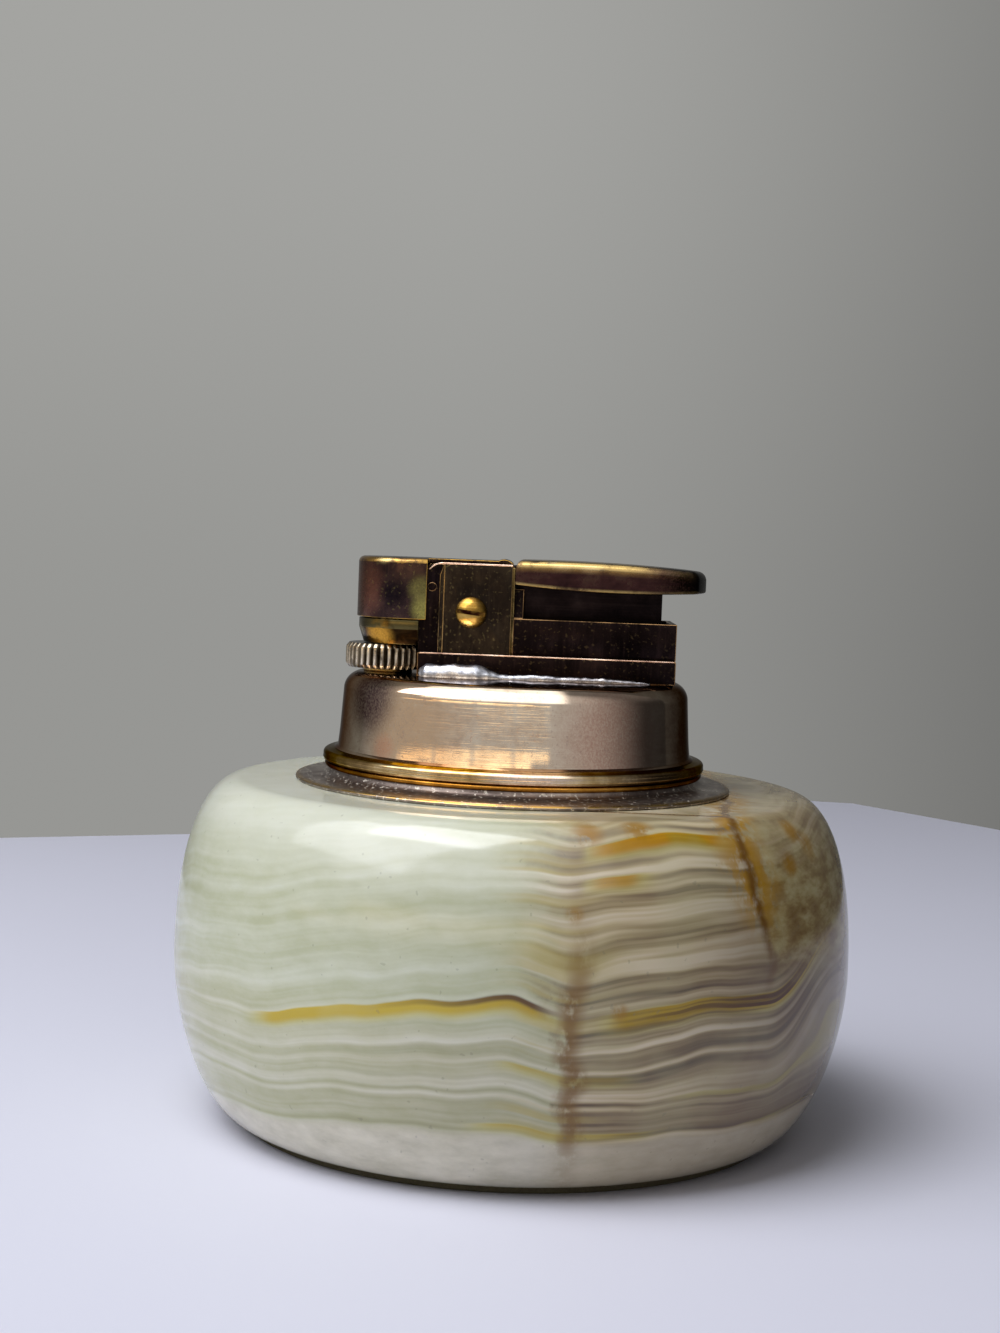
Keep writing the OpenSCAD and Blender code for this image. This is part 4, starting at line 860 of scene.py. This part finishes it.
class LIGHTER_OT_thumb_lever(bpy.types.Operator):
    """Rounds the thumb lever and finishes what rides with it"""
    bl_idname = "lighter.thumb_lever"
    bl_label = "Thumb lever"

    def execute(self, context):
        left, tip, half = LEVER_LOW.x, LEVER_HIGH.x, LEVER_HIGH.y
        thick, bow, wall, foot, corner_r = 3.95, 16, 0.8, 0.22, 1.3
        top, under = LEVER_HIGH.z, LEVER_HIGH.z - thick
        edge = context.scene.lighter_head.lever_round

        def upper(x):
            """Height of the lever's crown."""
            return top - (x - 5) ** 2 / 480

        def lower(x):
            """Height of its hollow lower edge."""
            return under + (x - 13) ** 2 / 320

        def outline(inset):
            """Half the plan, from the left end to the middle of the tip, then mirrored."""
            side, corner = half - inset, max(corner_r - inset, 0.2)
            reach, centre = bow - inset, tip - bow
            turn = math.asin((side - corner) / (reach - corner))
            knee = centre + (reach - corner) * math.cos(turn)
            points = [(x, side) for x in along(left + inset, knee, 24)]
            points += [(knee + corner * math.sin(a), side - corner + corner * math.cos(a))
                       for a in along(0, math.pi / 2 - turn, 8)[1:]]
            points += [(centre + reach * math.cos(a), reach * math.sin(a))
                       for a in [*along(turn, 0, 10)[1:-1], turn * 0.05]]
            return points + [(x, -y) for x, y in reversed(points)]

        def ring(inset, curve, rise):
            """The outline drawn in, at a height over a curve along the lever."""
            return [(x, y, curve(x) + rise) for x, y in outline(inset)]

        rings = [ring(foot, lower, 0), ring(foot * 0.3, lower, foot * 0.3), ring(0, lower, foot),
                 ring(0, lower, 0.5), ring(0, upper, -edge - 0.5)]
        rings += [ring(edge * (1 - math.cos(a)), upper, edge * (math.sin(a) - 1)) for a in along(0, math.pi / 2, 8)]
        hollow = block((left - 1, wall - half, under - 2), (19, half - wall, top - 0.9))
        mesh = facing_out(cut(ringed("thumb_lever", rings), hollow), 30)

        def rubbed(p, n):
            """Rubbed bright along the edges, partly as a painted highlight, and faded towards the tip as painted
            shade.
            """
            fade = limited((18.5 - p.x) / 5, 0.05)
            if p.z < lower(p.x) + 0.3:
                return 0.75 * max(fade, 0.2)
            if abs(p.y) < half - 1.5 and p.x < tip - 2:
                return 0.7
            return limited(1.25 - (upper(p.x) - p.z) / (edge * 0.95)) * fade

        mark_worn(mesh, rubbed)
        piece("worn_lever", mesh, "lever", "lever", "lever_brass", "thumb_lever")
        eased_piece("lever_frame", 0.06, "soot", "lever", "dark_brass")
        eased_piece("pawl", 0.04, "steel", "lever", "steel")
        return {"FINISHED"}


class LIGHTER_OT_snuffer_hood(bpy.types.Operator):
    """Eases the snuffer hood and finishes its seal"""
    bl_idname = "lighter.snuffer_hood"
    bl_label = "Snuffer hood"

    def execute(self, context):
        top = corners("snuffer_hood")[1].z
        # The top edge is rubbed gold, also as a painted highlight
        eased_piece("snuffer_hood", 0.07, "hood", "hood", "lever_brass",
                    rubbed=lambda p, n: 0.5 if p.z > top - 1 and 0.15 < n.z < 0.96 and p.x < -13 else 0)
        eased_piece("hood_seal", 0.05, "rubber", "hood", "rubber")
        return {"FINISHED"}


class LIGHTER_OT_burner(bpy.types.Operator):
    """Builds the knurled flame wheel and finishes the burner cup, valve and jet"""
    bl_idname = "lighter.burner"
    bl_label = "Burner"

    def execute(self, context):
        sizes = context.scene.lighter_head
        low, high, radius = WHEEL_LOW.z, WHEEL_HIGH.z, (WHEEL_HIGH.y - WHEEL_LOW.y) / 2
        bore, lip = 2.55, 0.45
        profile = [(bore, low), (radius - lip, low), (radius - 0.05, low + lip), (radius + 0.2, low + lip + 0.3),
                   (radius + 0.2, high - lip - 0.3), (radius - 0.05, high - lip), (radius - lip, high), (bore, high),
                   (bore, low)]
        turned_piece("knurled_wheel", profile, "nickel", "flame_wheel", "plain_brass", "adjuster_wheel",
                     Segments=sizes.knurls * 10, Teeth=sizes.knurls, Tooth_radius=radius * MM,
                     Tooth_depth=sizes.knurl_depth * MM, Land=0.3, Centre=(WHEEL_X * MM, 0, 0),
                     worn=lambda p, n: limited(1 + (math.hypot(p.x - WHEEL_X, p.y) - radius) * 7))
        cup_top = corners("burner_cup")[1].z
        eased_piece("burner_cup", 0.06, "amber", "burner_unit", "bright_brass",
                    rubbed=lambda p, n: float(p.z > cup_top - 1.2))
        eased_piece("valve_body", 0.05, "brass", "burner_unit", "plain_brass")
        eased_piece("burner_jet", 0.05, "brass", "jet", "bright_brass")
        return {"FINISHED"}


class LIGHTER_OT_inner_works(bpy.types.Operator):
    """Builds the springs and toothed wheels, and finishes the pieces inside"""
    bl_idname = "lighter.inner_works"
    bl_label = "Inner works"

    def execute(self, context):
        for node, finish in (
                ("flint_tube", "brass"), ("flint", "flint"), ("flint_screw", "screw"), ("valve_nut", "brass"),
                ("jet_seal", "rubber"), ("feed_tube", "nylon"), ("filler_body", "brass"), ("filler_stem", "brass"),
                ("filler_seal", "rubber"), ("ratchet_wheel", "steel")):
            finish_mesh(CAD[node].data, finish)
        for node, turns, wire in (("lever_spring", 6, 0.35), ("flint_spring", 14, 0.22), ("jet_spring", 2, 0.16),
                                  ("filler_spring", 3, 0.2)):
            low, high = corners(node)
            x, y = (low.x + high.x) / 2 * MM, (low.y + high.y) / 2 * MM
            free, coil = high.z - low.z, (high.y - low.y) / 2 - wire
            mesh = grown(node + "_coil", "coil", [(0, 0, 0), (0, 0, 1)], "steel", sharp=60, Turns=turns,
                         Coil_radius=coil * MM, Wire_radius=wire * MM, Free_length=(free - 2 * wire) * MM,
                         Centre=(x, y, (low.z + wire) * MM))
            made = piece(node + "_coil", mesh, "steel", "burner_unit", "steel", node)
            if node == "lever_spring":
                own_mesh(made)
            if node == "filler_spring":
                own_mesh(made)
        low, high = corners("spark_wheel")
        radius, wide, bore, hub = (high.z - low.z) / 2, 2.2, 1.15, 1.35
        profile = [(bore, -wide), (radius - 0.3, -wide), (radius + 0.1, 0.3 - wide), (radius + 0.1, wide - 0.3),
                   (radius - 0.3, wide), (hub, wide), (hub, high.y), (bore, high.y), (bore, -wide)]
        turned_piece("file_wheel", profile, "steel", "spark_shaft", "steel", "spark_wheel", Segments=300, Teeth=30,
                     Tooth_radius=radius * MM, Tooth_depth=0.35 * MM, Lean=1.0, Land=0.1, Turn=ALONG_Y,
                     Centre=AXLE * MM)
        return {"FINISHED"}


class LIGHTER_OT_stage(bpy.types.Operator):
    """Lays the table top, the wall, the lights and the camera"""
    bl_idname = "lighter.stage"
    bl_label = "Stage"

    def execute(self, context):
        scene = context.scene
        sizes = scene.lighter_stage
        table_colour, wall_colour = [*sizes.table_colour, 1], [*sizes.wall_colour, 1]
        count = len(TABLE_EDGE)
        table = bpy.data.meshes.new("table_top")
        table.from_pydata([(x, y, z) for z in (0, -TABLE_THICK) for x, y in TABLE_EDGE], [], [
            list(range(count))[::-1],
            *([i, (i + 1) % count, count + (i + 1) % count, count + i] for i in range(count))])
        # Paint, rolled on: flat, with faint broad shading
        material, point = blank_material("painted_table")
        shade = [c * 0.94 for c in sizes.table_colour] + [1]
        table.materials.append(cover(material, Base_Color=point("noise", 0.006, 2)("mix", shade, table_colour),
                                     Roughness=0.55))
        wall = bpy.data.meshes.new("wall")
        wall.from_pydata([(-3, 1.5, -2), (3, 1.5, -2), (3, 1.5, 3), (-3, 1.5, 3)], [], [(0, 1, 2, 3)])
        # The painted wall glows at its own colour, so that it needs no light; its glow is painted darker to the right
        # and lower down, as shade, and lights the scene a little
        material, point = blank_material("glowing_wall")
        across, _, height = point("split")
        fade = across("step", -100, 750, 1, 0.38) * height("step", -50, 500, 0.83, 1)
        path = add_node(material.node_tree, "ShaderNodeLightPath")
        glow = path["Is Camera Ray"] | path["Is Glossy Ray"] * 0.5 + 0.1
        fade("mix", [0, 0, 0, 1], wall_colour)("ShaderNodeEmission", glow)("ShaderNodeOutputMaterial")
        wall.materials.append(material)
        in_scene("table_top", facing_out(table))
        in_scene("wall", wall)
        # A dim room: a pale ceiling, a lit side in front, a large window overhead, a low cream one in front
        world = scene.world = bpy.data.worlds.new("studio")
        world.use_nodes = True
        world.node_tree.nodes.clear()
        path = add_node(world.node_tree, "ShaderNodeLightPath")
        across, depth, height = add_node(world.node_tree, "ShaderNodeTexCoord")["Generated"]("split")
        toward = depth * -1
        aside = across("ARCTAN2", toward)

        def pane(value, low, high, soft):
            """One between two bounds, with soft edges, and nothing outside them."""
            return value("step", low, low + soft) * value("step", high - soft, high, 1, 0)

        room = aside("step", -2.5, -1.4, 0, 0.52) * aside("step", 0.8, 1.7, 1, 0)
        room = room + height("step", 0.15, 0.85, 0.04, 0.2)
        # The overhead window is laid out by the slope of a surface that mirrors it to the camera's side
        nearer = toward + 1
        slant = across / nearer
        rise = (height + 0.1) / (across * across + nearer * nearer)("SQRT")
        window = rise("step", 0.2, 0.32) * rise("step", 7, 11, 1, 0) * pane(slant, -0.66, 0.34, 0.08) * 1.6
        bars = pane((aside * 2.2)("FRACT"), 0, 1, 0.12)
        cream = pane(aside, -1, 0.22, 0.05) * pane(height, 0.108, 0.21, 0.01)
        sill = pane(aside, -1.42, 0.42, 0.05) * pane(height, 0.06, 0.1, 0.008)
        cream = (sill * 0.8 + cream) * (bars * 0.9 + 0.7)
        # Mirrored rays see the room in full; as a fill light it counts for less than a fifth
        total = (room + window + cream) * path["Is Glossy Ray"]("step", 0, 1, 0.18, 1)
        soft = (cream & 1)("mix", "#f2f1f2", "#ffe3bd")("ShaderNodeBackground", total)
        seen = add_node(world.node_tree, "ShaderNodeBackground", wall_colour, 1)
        path["Is Camera Ray"]("ShaderNodeMixShader", soft, seen)("ShaderNodeOutputWorld")
        # Each lamp's name, place, what it points at, size, power and colour
        for name, place, aim, size, power, tint in (
                ("skylight", (-0.15, -0.15, 0.53), (-0.02, -0.02, 0.04), (0.34, 0.25), sizes.key_power, "#fbfcff"),
                ("side_window", (-0.42, -0.2, 0.55), (0, 0, 0.03), (0.6, 0.5), sizes.key_power * 1.7, "#f4f6ff")):
            lamp = bpy.data.lights.new(name, "AREA")
            lamp.shape = "RECTANGLE"
            lamp.size, lamp.size_y = size
            lamp.energy = power
            lamp.color = linear(tint)[:3]
            made = in_scene(name, lamp)
            made.location = place
            made.rotation_euler = (Vector(aim) - Vector(place)).to_track_quat("-Z", "Y").to_euler()
        camera = bpy.data.cameras.new("camera")
        camera.lens = sizes.lens
        camera.sensor_width = 36
        camera.clip_start = 0.01
        scene.camera = in_scene("camera", camera)
        place = Matrix.Translation(CAMERA_PLACE)
        for angle, axis in CAMERA_TURNS:
            place = place @ Matrix.Rotation(math.radians(angle), 4, axis)
        scene.camera.matrix_world = place
        scene.view_settings.view_transform = "Standard"
        return {"FINISHED"}


STEPS = (LIGHTER_OT_stage, LIGHTER_OT_stone_base, LIGHTER_OT_seat_flange, LIGHTER_OT_tank_collar,
         LIGHTER_OT_head_frame, LIGHTER_OT_thumb_lever, LIGHTER_OT_snuffer_hood, LIGHTER_OT_burner,
         LIGHTER_OT_inner_works)


class LIGHTER_PT_panel(bpy.types.Panel):
    """Lists the lighter's settings and steps"""
    bl_idname = "LIGHTER_PT_panel"
    bl_label = "Table lighter"
    bl_space_type = "VIEW_3D"
    bl_region_type = "UI"
    bl_category = "Table lighter"

    def draw(self, context):
        for group in (context.scene.lighter_stone, context.scene.lighter_head, context.scene.lighter_stage):
            box = self.layout.box()
            for name in group.bl_rna.properties.keys():
                if name not in ("rna_type", "name"):
                    box.prop(group, name)
        for operator in STEPS:
            self.layout.operator(operator.bl_idname)


GROUPS = {"lighter_stone": StoneSettings, "lighter_head": HeadSettings, "lighter_stage": StageSettings}


def register():
    for name, group in GROUPS.items():
        bpy.utils.register_class(group)
        setattr(bpy.types.Scene, name, PointerProperty(type=group))
    for made in STEPS + (LIGHTER_PT_panel,):
        bpy.utils.register_class(made)


def unregister():
    for made in STEPS + (LIGHTER_PT_panel,):
        bpy.utils.unregister_class(made)
    for name, group in GROUPS.items():
        delattr(bpy.types.Scene, name)
        bpy.utils.unregister_class(group)


def main():
    register()
    make_finishes()
    TREES.update(turned=turned_form_tree(), coil=coil_tree(), bead=lumpy_bead_tree())
    for operator in STEPS:
        group, name = operator.bl_idname.split(".")
        getattr(getattr(bpy.ops, group), name)()


if __name__ == "__main__":
    main()
